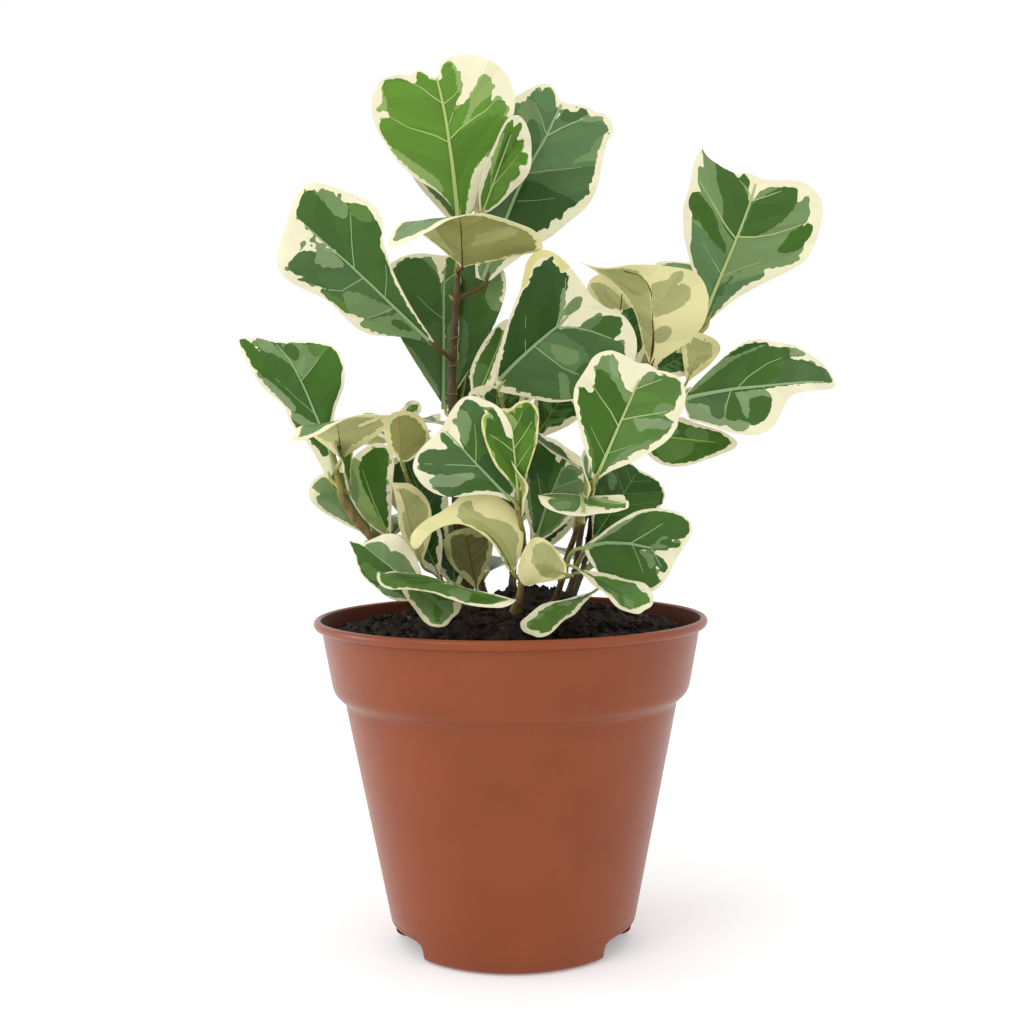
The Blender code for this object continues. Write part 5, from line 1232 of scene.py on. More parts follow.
LOOK["e3"] = dict(
    out=[(-1, 0), (-3, 3.5), (-6, 8), (-8.5, 12.5), (-10.5, 18), (-11.5, 24), (-11.2, 29), (-10, 34),
         (-8, 37.2), (-4.5, 38.5), (-1, 38), (2, 36.7), (6, 35.2), (10, 33.4), (13.3, 31), (15, 27.5),
         (14.8, 22), (13, 16), (10, 10), (6.5, 5), (3, 1), (1, 0)],
    zones=[
        ("d", [(-0.8, 2), (-3, 6), (-6, 11), (-8, 16), (-9.5, 22), (-9.8, 26), (-9.2, 29, 1), (-9.5, 33),
               (-8, 36), (-5, 37.2), (-2.5, 35.5), (-0.7, 31.5, 1), (1, 29.7), (1.8, 33), (3.5, 33.7),
               (3.4, 30), (2.6, 27), (1.6, 22), (0.6, 15), (0.4, 4)]),
        ("D*", [(-9.5, 31), (-8, 35.5), (-5, 37), (-2.5, 35.5), (-1, 31), (-1, 20), (-4, 23), (-8, 21),
                (-9.7, 25)]),
        ("g*", [(-9.8, 21), (-8, 21), (-6, 15), (-3.5, 9), (-1.5, 3), (-5, 8), (-8, 14)]),
        ("g", [(0.8, 12), (2, 22), (3.5, 29), (6, 30.6), (9.5, 31), (10.7, 28.5), (9, 26.7, 1),
               (12.7, 24.5), (12.7, 21), (10.5, 15), (8, 9), (4, 3), (1, 1.5)]),
        ("m*", [(1, 16), (6, 20), (10.5, 21), (12, 18), (8, 11), (4, 5), (0.8, 3)]),
        ("u*", [(3.5, 22), (8, 25), (8.7, 28), (5, 29), (3, 26)])],
    veins=[([(0.2, 0), (0.6, 12), (1.8, 22), (2.6, 29)], 1.1, 0.4), ([(1.6, 20), (6, 23.5), (10, 25.6)], 0.4, 0.2),
           ([(0.6, 12), (-3, 18), (-6, 24)], 0.35, 0.15)],
    vein="grey", jag=0.25)

LOOK["g4"] = dict(
    out=[(-1, 0), (-4, 4.5), (-8, 9.5), (-11.5, 15), (-13.9, 20), (-14.6, 26), (-13.9, 31), (-12, 35.5),
         (-9, 38.1), (-5, 38.5), (-2, 37), (1, 35), (4, 33), (8, 31), (12, 28.6), (15, 25.6), (16, 22),
         (15.5, 18), (13.7, 12.5), (11.5, 8), (8, 4.3), (4, 1.3), (1, 0)],
    zones=[
        ("d", [(-0.8, 1.5), (-4, 6), (-7.5, 10.5), (-11, 16.5), (-13.2, 22), (-13.7, 26), (-13, 29.5),
               (-12.4, 33), (-9.5, 36.9), (-6.5, 37.6), (-3.8, 36), (-3.2, 33), (-3.3, 31, 1), (-2, 32),
               (-1.8, 34), (-0.6, 34.4), (0, 31.5), (0.6, 29), (0.8, 26), (0.8, 20), (0.3, 10), (0.2, 2)]),
        ("g*", [(-4, 31.5), (-2.8, 27.5), (-1.5, 27), (-0.5, 30), (0.2, 27), (0.2, 23), (-2, 25.5), (-4, 28)]),
        ("d", [(0, 2), (0.2, 12), (0.8, 22), (2, 25, 1), (4, 28), (7.5, 30), (8.8, 28), (6, 25.7, 1),
               (9, 25.7), (12, 26.6), (14, 25), (14.4, 22), (12.7, 19.5, 1), (13, 16), (11, 13, 1),
               (9.5, 10.5), (11, 8), (9, 5.5), (5, 3.5), (2, 2)]),
        ("v*", [(2, 19), (8, 22), (12, 24.5), (14.5, 22), (11, 14), (7, 10), (2, 12)]),
        ("g*", [(0.8, 22), (3, 24.8), (6, 25.3), (8, 23.7), (4, 22), (1, 19.5)]),
        ("p*", [(-12.8, 20), (-9, 15.5), (-5, 9.5), (-2, 4), (-1, 1.5), (-5, 6), (-9, 12)])],
    veins=[([(-0.5, 0), (-2, 8), (-1.7, 16), (0, 24)], 1.4, 0.8), ([(-1.7, 16.5), (-5, 22), (-9, 28)], 0.55, 0.3),
           ([(0.2, 24.2), (4, 26), (7, 27.5)], 0.45, 0.25), ([(-1.6, 17), (3, 19), (9, 21)], 0.35, 0.2)],
    vein="grey", jag=0.25)

LOOK["a2"] = dict(
    out=[(-1, 0), (-3, 3), (-5.2, 7.5), (-6.3, 12), (-6.6, 18), (-6.4, 24), (-6, 29), (-4.8, 34),
         (-2.5, 37.3), (1, 38.8), (4.5, 37.3), (8.5, 33), (11, 28), (12, 23), (11.2, 17), (8.8, 11),
         (6, 5.5), (3, 1.5), (1, 0)],
    zones=[
        ("B", [(-0.5, 1), (-3, 5), (-4.2, 10), (-4.2, 15), (-3.7, 19, 1), (-5, 22), (-4.8, 28), (-4, 33),
               (-2, 36), (-0.7, 35), (0, 33.5, 1), (1, 35.5), (2.8, 37), (3.4, 34), (2.8, 30, 1), (4.5, 30.5),
               (6, 31.7), (6.7, 28.5), (6.2, 26.5, 1), (9.5, 27.2), (9.8, 23.5), (7.7, 21.7, 1), (9, 18),
               (6.7, 15.3, 1), (7, 11), (5, 6), (2, 2)]),
        ("v*", [(-1.7, 20), (-1.5, 27), (-1, 33), (0.3, 30), (0.6, 24), (2, 24), (3, 34), (3.4, 30),
                (2.8, 25), (1.8, 20), (0, 17)]),
        ("k*", [(-4.6, 30), (-3.4, 30), (-2.6, 22), (-2, 14), (-3.8, 16), (-5, 22)]),
        ("b*", [(2, 14), (4, 20), (7, 23), (9, 22), (7, 15), (5, 8), (2, 6)])],
    veins=[([(0.1, 0), (0.3, 12), (0.3, 20), (0.2, 31)], 1.0, 0.4), ([(0.3, 10), (3, 17), (6, 25)], 0.35, 0.15),
           ([(0.2, 8), (-2, 15), (-3, 24)], 0.35, 0.15)],
    vein="young", jag=0.2)

LOOK["a10"] = dict(
    out=[(-1, 0), (-4, 5), (-6.5, 11), (-6.8, 18), (-5.8, 25), (-4.7, 30), (-3, 34), (-1, 35.5), (1, 34.5),
         (2.2, 30), (3.4, 25), (5, 19), (5.6, 13), (4.5, 7), (2.5, 2), (1, 0)],
    zones=[
        ("v", [(-1.2, 2), (-4.4, 9), (-5.2, 16), (-4.4, 23), (-3.9, 27, 1), (-3.6, 31), (-1.8, 30.5),
               (-0.4, 29.5), (0.4, 24), (1.1, 18), (1.3, 12), (0.8, 5)]),
        ("m*", [(-4.8, 14), (-2.5, 15.5), (0.6, 14), (1.2, 8), (0, 4), (-3, 6)])],
    veins=[([(0, 0), (0.4, 12), (0, 24), (-1, 30)], 0.9, 0.4)], vein="soft_young", jag=0.25)

LOOK["h7"] = dict(
    out=[(-1, 0), (-4, 5), (-7, 11), (-8, 16), (-6.6, 21), (-5.6, 27), (-4.6, 32), (-3, 36), (-1, 38.7),
         (1.5, 37.5), (4.5, 32.5), (7.3, 27), (9.8, 22), (11.5, 16), (11, 10), (8, 5), (4, 1.5), (1, 0)],
    zones=[
        ("v", [(-0.8, 1.5), (-4, 7), (-6.2, 13), (-5.2, 20), (-4.6, 27), (-3.6, 32.5), (-1, 35.6), (1, 35),
               (3, 32), (5.4, 28), (8.2, 23), (10.2, 17), (10, 11), (7, 6), (3, 1.5)]),
        ("m*", [(-4, 26), (0, 27), (1, 22), (-2, 18), (-5, 20)]),
        ("m*", [(0, 20), (4, 22), (8, 18), (10, 12), (6, 8), (1, 12)]),
        ("u*", [(-5, 12), (-2, 16), (0, 12), (-1, 4), (-3, 7)])],
    veins=[([(0, 0), (0.3, 15), (0, 30)], 0.9, 0.4)], vein="soft_young", jag=0.25)

LOOK["g3"] = dict(
    out=[(-1, 0), (-5, 3.3), (-10, 6.8), (-14.6, 9.5), (-15.2, 14), (-15.7, 18), (-15.5, 21.7, 1),
         (-10, 22.2), (-5, 21.3), (0, 21.3), (4, 21.7), (8, 21.3), (12, 19.7), (15, 16.5), (15.7, 11),
         (14, 6), (9, 2.3), (4, 0.5), (1, 0)],
    zones=[
        ("m", [(-14.6, 21.6, 1), (-11, 20.6), (-8, 19), (-5.5, 16.5), (-3.5, 14), (-1, 12, 1), (-0.8, 4),
               (-4, 6.6), (-8, 9.6), (-11.5, 13.5), (-13.7, 18)]),
        ("k*", [(-14.2, 19.5), (-9, 15), (-4, 9), (-1, 4), (-6, 7.5), (-11, 12.5)]),
        ("m", [(0.6, 3), (0.8, 12), (1.6, 16), (3, 18.5), (6, 19.7), (9, 19.2), (11.5, 17.6), (12.6, 15.5),
               (11, 12), (9, 9.7), (13, 9), (14, 6.5), (10, 3.7), (5, 1.8), (1.5, 1.2)]),
        ("g*", [(5, 17), (9, 19), (11, 17), (8, 13), (5, 10), (4, 13)])],
    veins=[([(0, 0), (0, 8), (-0.2, 13), (0, 19)], 1.5, 1.0)], vein="pale", jag=0.2)

LOOK["g5"] = dict(
    out=[(-1, 0), (-3.5, 1.2), (-6.8, 5), (-9.5, 9.6), (-10, 13.2), (-7.7, 17), (-3, 19), (1, 19.4),
         (5, 17.8), (7.7, 15), (8, 12), (6.2, 8.8), (4, 4.6), (2.2, 1), (1, 0)],
    zones=[("q", [(-1.5, 1), (-5, 4), (-8.2, 8.6), (-8.4, 12), (-6, 14.6), (-1, 14.6), (0.6, 12.4),
                  (3.2, 8), (2, 3)]),
           ("o*", [(-1, 3), (-1, 12), (0.6, 12), (3.2, 8), (1.6, 3)])],
    veins=[([(0, 0), (0.2, 8), (-0.3, 13)], 0.6, 0.3)], ground="r", vein_back="tan", jag=0.25)

LOOK["b4"] = dict(
    out=[(-1, 0), (-4, 4), (-7, 11), (-8.3, 19), (-7.6, 26), (-4.5, 31), (0, 33.5), (5, 34.6), (10, 33.8),
         (13.4, 30), (12.8, 25), (10.3, 20), (7.3, 14), (4, 7), (1, 0)],
    zones=[("k", [(-0.8, 1), (-4, 5), (-6.8, 12), (-7.6, 20), (-6.6, 26.5), (-4, 30.5), (-0.8, 32), (0.3, 20),
                  (0.3, 6)]),
           ("g*", [(-7.6, 16), (-5, 18), (-3, 26), (-5, 30), (-8, 27)]),
           ("v", [(0.2, 3), (-1.5, 14), (-2.2, 22), (-1, 28), (2, 31.5), (6, 32.6), (10, 32), (12, 29),
                  (10.4, 25), (7.6, 20), (5, 14), (2.6, 7)])],
    veins=[([(0, 0), (-0.6, 14), (0, 27)], 0.8, 0.3)], vein="soft_young", jag=0.25)

LOOK["b5"] = dict(
    zones=[("g", [(-0.8, 2), (-3, 8), (-6, 15), (-8.4, 22), (-7.8, 26, 1), (-5.6, 26), (-6.5, 30), (-3, 31),
                  (0.3, 30), (0.3, 4)]),
           ("p*", [(-8, 24), (-5, 22), (-3, 14), (-5, 13), (-8, 20)]),
           ("v", [(0.2, 2), (0.2, 28), (3, 30), (6, 28), (7.6, 24), (6, 16), (3, 8)])],
    veins=[([(0, 0), (0, 27)], 0.7, 0.3)], vein="soft_young", jag=0.3)

LOOK["d2"] = dict(
    out=[(-1, 0), (-4, 3), (-6.5, 7), (-7.2, 11), (-6.9, 15), (-6.6, 19.5), (-5.9, 22.5), (-3.9, 26),
         (-1.4, 29.5), (1.4, 34, 1), (2.4, 31), (3.6, 28.8), (6, 27.4), (9, 25.6), (12, 23.4), (14, 20),
         (13.5, 15), (10, 8), (5, 2.5), (1, 0)],
    zones=[("d", [(-1, 1), (-3.6, 4), (-6.1, 8), (-6.8, 11), (-6.5, 15), (-6.2, 19.5), (-5.5, 22.3),
                  (-3.5, 25.8), (-1, 29.2), (1.3, 33.2), (2.2, 30), (3.2, 27.6), (3.2, 20), (2.7, 12),
                  (1.8, 5)]),
           ("g", [(2.9, 28), (4, 27.6), (5.4, 26.6), (7.6, 24.4), (8.6, 21.5), (8.1, 19.5), (7.4, 18.4),
                  (8.8, 17), (9.2, 14), (8, 10), (5, 4.5), (1.2, 1), (1.8, 5), (2.7, 12), (3, 20)]),
           ("g*", [(-6.9, 14), (-5.5, 15), (-4.5, 12), (-3.6, 7), (-3, 4), (-6, 7)]),
           ("m*", [(-5.5, 19), (-3.5, 24.5), (-1, 23), (-2, 17), (-4, 15)])],
    veins=[([(0, 0), (1.6, 8), (2.7, 16), (3.1, 27)], 0.8, 0.3)], vein="grey", jag=0.25)

LOOK["h6"] = dict(
    zones=[("q", [(-2, 4), (-4.5, 9), (-4.2, 15), (-2.5, 19.5), (1, 23), (5, 25.8), (10, 27.4), (12.4, 25.5),
                  (9, 21), (5, 17.5), (1.6, 14.5), (0.6, 10), (0, 5)]),
           ("q", [(-9, 17), (-11, 22), (-9.5, 26), (-5, 28), (-4, 25), (-6, 21)])],
    veins=[([(0, 0), (0.2, 12), (0, 25)], 0.9, 0.4)], ground="r", rib_back="brown", jag=0.4)

LOOK["e4"] = dict(
    out=[(-1, 0), (-4, 3), (-8, 5.5), (-12.5, 9), (-16, 13.5), (-17.6, 19), (-16, 23.5), (-12, 26.5),
         (-9.4, 30), (-8.3, 35), (-6.5, 39.5), (-3, 41.5), (-1.4, 40), (-3.2, 35), (-4.4, 29),
         (-4.4, 24), (-2.2, 17), (0, 10), (1.4, 4), (1, 0)],
    zones=[("q", [(-1, 1), (-5, 5.5), (-9, 8), (-10, 13), (-8.6, 17), (-10, 21), (-13, 22.5), (-12, 24.5),
                  (-8, 25.5), (-5.2, 24), (-3, 17), (-0.6, 10), (1, 4)]),
           ("o*", [(-1, 2), (-3, 7), (-5, 14), (-7, 21), (-6, 25), (-4, 22), (-1, 13), (1, 5)])],
    veins=[([(0.4, 1), (-0.6, 8), (-2.6, 14), (-4.8, 20), (-6.6, 25)], 0.9, 0.4)],
    ground="r", rib_back="brown", vein_back="tan", jag=0.35)

LOOK["d1"] = dict(
    out=[(-1, 0), (-5, 2), (-10, 6), (-16, 10), (-22, 14), (-25, 18), (-24, 22), (-20, 23.6), (-14, 22),
         (-8, 19), (-2, 15), (3, 13), (8, 14), (13, 17), (18, 20.5), (22, 21), (24.6, 18), (24, 12),
         (20, 5), (14, 0), (8, -3), (3, -2.4), (1, 0)],
    zones=[("m", ("margin", [-1, -0.75, -0.55, -0.42, -0.3, -0.15, 0, 0.3, 0.6, 1],
                  [0.4, 0.7, 1.4, 3.6, 1.6, 0.9, 0.9, 0.7, 0.8, 0.4])),
           ("v*", [(-20.5, 16), (-19, 19.6), (-14, 20), (-9, 17.4), (-10, 11), (-15, 12)]),
           ("g*", [(-8, 17), (-3, 14), (-1, 8), (-5, 5), (-9, 9)]),
           ("d*", [(5, 1), (14, 4), (19, 8), (20, 13), (14, 12), (8, 9)])],
    veins=[([(-3, -1), (-8, 6), (-14, 13), (-20, 18.5)], 0.6, 0.3),
           ([(-1, -1), (6, 2), (14, 8), (20, 15)], 0.6, 0.3)], vein="soft_dark", jag=0.25)

LOOK["h9"] = dict(
    zones=[("D", ("margin", [-1, -0.7, -0.4, 0, 0.4, 0.7, 1], [0.5, 1.0, 0.7, 0.5, 0.6, 1.6, 0.6])),
           ("d", ("sector", 1, 0.2, 0.62, 0.1, 0.9)), ("d", ("sector", -1, 0.12, 0.4, 0.0, 0.7)),
           ("u", ("sector", -1, 0.5, 0.62, 0.3, 1.2)), ("g", ("sector", 1, 0.05, 0.14, 0.4, 1.2))],
    vein="soft_dark")

for name in ("b2", "c1", "c5", "d3", "f4"):
    LOOK[name] = dict(kind="under", ground="r")
LOOK["a3"] = dict(
    zones=[("O", ("margin", [-1, -0.7, -0.4, -0.15, 0.1, 0.4, 0.7, 1], [0.6, 0.9, 2.5, 3, 2.6, 3, 1.4, 0.6])),
           ("o", ("sector", -1, 0.3, 0.5, 0.2, 0.75)), ("g", ("sector", 1, 0.1, 0.9, 0.5, 1.1))],
    ground="r", rib_back="brown", stalk="brown")
# x1 is painted in the shaded olive: painted shade for a leaf deep in the crown's shadow
for name in ("x1",):
    LOOK[name] = dict(kind="shaded", ground="q", rib_back="brown")
for name in ("x2", "x5", "x6", "x8", "x9"):
    LOOK[name] = dict(kind="deep")
LOOK["x7"] = dict(kind="under", ground="r")
LOOK["b2"]["rib_back"] = "brown"
LOOK["c1"]["zones"] = [("O", ("margin", [-1, -0.5, 0, 0.5, 1], [0.6, 1.2, 2.2, 2.4, 0.8]))]
LOOK["c1"]["out"] = [(-1, -0.4), (-2.4, -0.4), (-5, 1), (-8.5, 3.5), (-10.6, 7.5), (-10.8, 12), (-9, 16.5),
                     (-6, 20), (-2, 21.8), (1, 21.5), (4, 19), (5.4, 15), (5.6, 10), (4.5, 6), (2.4, 2.5),
                     (1, 0)]
LOOK["c5"]["out"] = [(-1, 0), (-4.4, 5), (-7.6, 10.8), (-9, 18), (-8.4, 22.5), (-7, 26), (-4.2, 30),
                     (-1, 31.4), (2.5, 32.5, 1), (2.6, 28), (3, 23), (4, 18), (4.4, 13.9), (3.4, 7), (1, 0)]
for name in ("g6", "h10"):
    LOOK[name] = dict(kind="mid")
for name in ("c4", "f6", "g2", "f3"):
    LOOK[name] = dict(kind="deep")

# ---------------------------------------------------------------- stems ----
def stem_at(name, z):
    """Point and radius of a stem at height z, on a smooth curve through its
    stations."""
    st = STEMS[name]
    z = min(max(z, st[0][2]), st[-1][2])
    i = max(k for k in range(len(st) - 1) if st[k][2] <= z)
    p0, p1 = st[i], st[i + 1]
    pa = st[i - 1] if i > 0 else None
    pb = st[i + 2] if i + 2 < len(st) else None
    h = p1[2] - p0[2]
    t = (z - p0[2]) / h

    def hermite(k):
        m0 = ((p1[k] - pa[k]) / (p1[2] - pa[2]) if pa else (p1[k] - p0[k]) / h) * h
        m1 = ((pb[k] - p0[k]) / (pb[2] - p0[2]) if pb else (p1[k] - p0[k]) / h) * h
        return ((2 * t ** 3 - 3 * t ** 2 + 1) * p0[k] + (t ** 3 - 2 * t ** 2 + t) * m0
                + (-2 * t ** 3 + 3 * t ** 2) * p1[k] + (t ** 3 - t ** 2) * m1)
    return np.array([hermite(0), hermite(1), z]), max(hermite(3), 0.8)


def slimmer(name, z):
    """Real wood is slimmer than the frame's stem towards its tip."""
    if name == "stem_main":
        return float(np.interp(z, [126, 150, 205, 240, 262, 276], [1, 0.92, 0.8, 0.76, 0.62, 0.6]))
    if name == "stem_left":
        return float(np.interp(z, [126, 140, 200], [0.95, 0.8, 0.76]))
    return float(np.interp(z, [126, 140, 200], [0.66, 0.5, 0.62]))


def stem_nodes(name):
    """Heights of the leaf nodes on a stem: where masses join, and old scars
    between them by a seeded rule."""
    rng = np.random.default_rng(len(name) * 7 + 3)
    zs = [(lo + hi) / 2 for stem, kind, lo, hi in MASSES.values() if stem == name]
    z = STEMS[name][0][2] + 9
    while z < STEMS[name][-1][2] - 6:
        if all(abs(z - a) > 7 for a in zs):
            zs.append(z)
        z += rng.uniform(9, 15)
    return sorted(zs)


def noise_colour(nt, low, high, scale, detail=6.0, coords=None, stretch=None):
    tc = coords or nt.nodes.new("ShaderNodeTexCoord").outputs["Object"]
    if stretch:
        mp = nt.nodes.new("ShaderNodeMapping")
        mp.inputs["Scale"].default_value = stretch
        nt.links.new(tc, mp.inputs["Vector"])
        tc = mp.outputs["Vector"]
    n = nt.nodes.new("ShaderNodeTexNoise")
    n.inputs["Scale"].default_value = scale
    n.inputs["Detail"].default_value = detail
    r = nt.nodes.new("ShaderNodeValToRGB")
    r.color_ramp.elements[0].position = 0.3
    r.color_ramp.elements[1].position = 0.7
    r.color_ramp.elements[0].color = (*linear(low), 1)
    r.color_ramp.elements[1].color = (*linear(high), 1)
    nt.links.new(tc, n.inputs["Vector"])
    nt.links.new(n.outputs["Fac"], r.inputs["Fac"])
    return n, r


def patterned(name, low, high, scale, rough, bump, distance, stretch=None, level=0.4):
    m = bpy.data.materials.new(name)
    m.use_nodes = True
    nt = m.node_tree
    p = nt.nodes["Principled BSDF"]
    n, r = noise_colour(nt, low, high, scale, stretch=stretch)
    nt.links.new(r.outputs["Color"], p.inputs["Base Color"])
    p.inputs["Specular IOR Level"].default_value = level
    mr = nt.nodes.new("ShaderNodeMapRange")
    mr.inputs["To Min"].default_value = rough - 0.08
    mr.inputs["To Max"].default_value = rough + 0.08
    nt.links.new(n.outputs["Fac"], mr.inputs["Value"])
    nt.links.new(mr.outputs["Result"], p.inputs["Roughness"])
    b = nt.nodes.new("ShaderNodeBump")
    b.inputs["Strength"].default_value = bump
    b.inputs["Distance"].default_value = distance
    nt.links.new(n.outputs["Fac"], b.inputs["Height"])
    nt.links.new(b.outputs["Normal"], p.inputs["Normal"])
    return m, nt, p, b


bark, _, _, _ = patterned("bark", (44, 32, 12), (92, 72, 36), 420, 0.62, 0.6, 0.0008,
                          stretch=(1.0, 1.0, 0.45))
bark_young, _, _, _ = patterned("bark_young", (76, 60, 24), (138, 114, 58), 380, 0.6, 0.6, 0.0008,
                                stretch=(1.0, 1.0, 0.45))
scar = leaf_material("leaf_scar", (136, 114, 72), 0.6, 0.2, 0.4, 800)
shoot = leaf_material("young_shoot", (138, 126, 62), 0.5, 0.3, 0.3, 800)
stalk_green = leaf_material("stalk_green", (158, 166, 96), 0.45, 0.3, 0.3, 800)
stalk_brown = leaf_material("stalk_brown", (92, 66, 28), 0.45, 0.3, 0.3, 800)
bud = leaf_material("bud", (142, 132, 70), 0.45, 0.3, 0.3, 800)

pieces = []


def keep(ob, slot, *nodes):
    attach(ob, "root")
    if nodes:
        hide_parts(*nodes)
    pieces.append(ob)
    return ob


for name, stations in STEMS.items():
    tips = [lo for stem, kind, lo, hi in MASSES.values() if stem == name and kind == "tip"]
    z0, z1 = stations[0][2] - 0.3, (tips[0] if tips else stations[-1][2]) + 0.6
    rng = np.random.default_rng(len(name) * 13 + 5)
    nodes = stem_nodes(name)
    zs = np.linspace(z0, z1, int((z1 - z0) / 0.9) + 2)
    path, radii = [], []
    for z in zs:
        p, r = stem_at(name, z)
        r = r * slimmer(name, z)
        for a in nodes:
            r *= 1 + 0.16 * math.exp(-((z - a) / 0.7) ** 2) + 0.06 * math.exp(-((z - a - 2.2) / 2.0) ** 2)
        path.append(p)
        radii.append(r)
    path = np.array(path)
    path[:, 0] += 0.25 * np.sin(zs / 9.0 + rng.uniform(0, 6)) * smooth((zs - z0) / 10)
    path[:, 1] += 0.25 * np.sin(zs / 7.0 + rng.uniform(0, 6)) * smooth((zs - z0) / 10)
    sides = 16
    w = np.arange(sides) * 2 * np.pi / sides
    bumps = (1 + 0.05 * np.sin(2 * w[None] + zs[:, None] * 0.31) + 0.035 * np.sin(5 * w[None] - zs[:, None] * 0.9)
             + 0.03 * rng.standard_normal((len(zs), sides)))
    flare = np.exp(-(zs - z0) / 3.0)[:, None] * 0.35 * (0.5 + 0.5 * np.sin(3 * w[None] + rng.uniform(0, 6)))
    bag = Bag()
    bag.add(*tube_mesh(path, radii, sides, shape=bumps + flare),
            bark_young if name in ("stem_left", "stem_left_inner", "stem_low_left", "stem_centre") else bark)
    for n, a in enumerate(nodes):
        p, r = stem_at(name, a)
        r *= slimmer(name, a) * 1.12
        k = 24
        ww = np.linspace(0, 2 * np.pi, k, endpoint=False)
        ring = np.stack([p[0] + r * np.cos(ww), p[1] + r * np.sin(ww),
                         p[2] + 0.5 * np.sin(ww + n) + 0.0 * ww], 1)
        ring = np.concatenate([ring, ring[:2]])
        bag.add(*tube_mesh(ring, np.full(k + 2, 0.20), 6), scar)
        for b in range(3):
            ang, dz = rng.uniform(0, 2 * np.pi), rng.uniform(2, 7)
            q, rr = stem_at(name, min(a + dz, z1 - 1))
            rr *= slimmer(name, a + dz)
            c = q + np.array([math.cos(ang), math.sin(ang), 0]) * rr
            bag.add(*tube_mesh([c - (0, 0, 0.5), c, c + (0, 0, 0.5)], [0.08, 0.24, 0.08], 6), scar)
    keep(bag.build(name + "_bark"), "bark", name)


# ------------------------------------------------------------ leaf masses ----
def bezier(a, b, c, d, n):
    t = np.linspace(0, 1, n)[:, None]
    return (1 - t) ** 3 * a + 3 * (1 - t) ** 2 * t * b + 3 * (1 - t) * t ** 2 * c + t ** 3 * d


def stalk_into(bag, q, look, stem, lo, hi):
    """The stalk runs out of the stem and on into the leaf's midrib."""
    M, T, B, N = midrib(q, np.array([0.0, 3.0 / q["L"]]))
    z = min(max(q["base"][2] - 4, lo + 1.5), hi - 1.5)
    c, r = stem_at(stem, z)
    gap = np.linalg.norm(M[0] - c)
    way = (M[0] - c) / max(gap, 1e-6)
    start = c + way * r * 0.3
    end = M[1] - N[1] * 0.15
    pts = bezier(start, start + (way + np.array([0, 0, 0.2])) * gap * 0.35,
                 M[0] - T[0] * gap * 0.35, M[0], 9)
    pts = np.concatenate([pts, [(M[0] + end) / 2, end]])
    radii = np.concatenate([[1.25, 1.15], np.linspace(1.0, 0.78, 7), [0.62, 0.3]])
    radii = radii * look.get("stalk_size", 0.9 if q["L"] > 34 else 0.72)
    mat = {"brown": stalk_brown, "green": stalk_green}[look.get("stalk", "green")]
    bag.add(*tube_mesh(pts, radii, 8), mat)


for mass, (stem, kind, lo, hi) in MASSES.items():
    leaves_bag, twig_bag = Bag(), Bag()
    for q in [q for q in LEAVES if q["mass"] == mass]:
        look = LOOK.get(q["name"], {})
        leaf_into(leaves_bag, q, look)
        stalk_into(twig_bag, q, look, stem, lo, hi)
    if kind == "tip":
        zs = np.linspace(lo, hi, 14)
        got = [stem_at(stem, z) for z in zs]
        path = [g[0] for g in got]
        radii = [g[1] * slimmer(stem, z) * (1 - 0.25 * k / 13) for k, (g, z) in enumerate(zip(got, zs))]
        twig_bag.add(*tube_mesh(path, radii, 12), shoot)
        d = path[-1] - path[-3]
        d /= np.linalg.norm(d)
        t = np.linspace(0, 1, 9)
        tip = [path[-1] + d * 7.5 * k for k in t]
        twig_bag.add(*tube_mesh(tip, radii[-1] * (1 + 0.35 * np.sin(np.pi * np.minimum(t * 1.6, 1)))
                                * (1 - t ** 1.6 * 0.97), 10), bud)
    else:
        rng = np.random.default_rng(len(mass) * 11)
        for k in range(2):
            z = (lo + hi) / 2 + 2.0
            c, r = stem_at(stem, z)
            r *= slimmer(stem, z)
            ang = rng.uniform(0, 2 * np.pi)
            d = np.array([math.cos(ang) * 0.7, math.sin(ang) * 0.7, 0.8])
            t = np.linspace(0, 1, 7)
            tip = [c + np.array([math.cos(ang), math.sin(ang), 0]) * r * 0.8 + d * 2.6 * a for a in t]
            twig_bag.add(*tube_mesh(tip, 0.75 * (1 - t ** 1.5 * 0.95), 8), bud)
    keep(leaves_bag.build(mass + "_blades"), "foliage", mass)
    keep(twig_bag.build(mass + "_twigs"), "bark")

# ----------------------------------------------------------------- soil ----
rng = np.random.default_rng(41)


def heap(x, y):
    """Level of the heaped potting mix: highest round the stems, lower in
    front, lowest along the wall."""
    x, y = np.asarray(x, float), np.asarray(y, float)
    r = np.hypot(x, y)
    z = np.interp(r, [0, 36, 48, 60, 69], [126.4, 126.0, 123.4, 120.8, 119.2])
    z = z + 9.5 * np.exp(-((x - 9) / 21) ** 2 - ((y - 2) / 18) ** 2)
    front = smooth((-y - 8) / 34) * np.exp(-((r - 47) / 17) ** 2)
    return z - 3.6 * front


rings, secs = 84, 220
rad = 69.0 * np.linspace(0, 1, rings) ** 0.9
ang = np.linspace(0, 2 * np.pi, secs, endpoint=False)
R, A = np.meshgrid(rad, ang, indexing="ij")
X, Y = R * np.cos(A), R * np.sin(A)
flat = np.stack([X.ravel(), Y.ravel()], 1)
hump = (0.9 * ripple(rng, 17)(flat) + 1.2 * np.abs(ripple(rng, 8, 7)(flat)) + 0.9 * np.abs(ripple(rng, 3.6, 9)(flat))
        + 0.4 * ripple(rng, 1.7, 9)(flat) - 0.9).reshape(R.shape)
Z = heap(X, Y) - 0.5 + hump * np.interp(R, [0, 60, 69], [1, 1, 0.4])
V = np.stack([X, Y, Z], -1).reshape(-1, 3)
i, j = np.meshgrid(np.arange(rings - 1), np.arange(secs), indexing="ij")
a, b = (i * secs + j).ravel(), (i * secs + (j + 1) % secs).ravel()
F = np.concatenate([np.stack([a, a + secs, b + secs], 1), np.stack([a, b + secs, b], 1)])
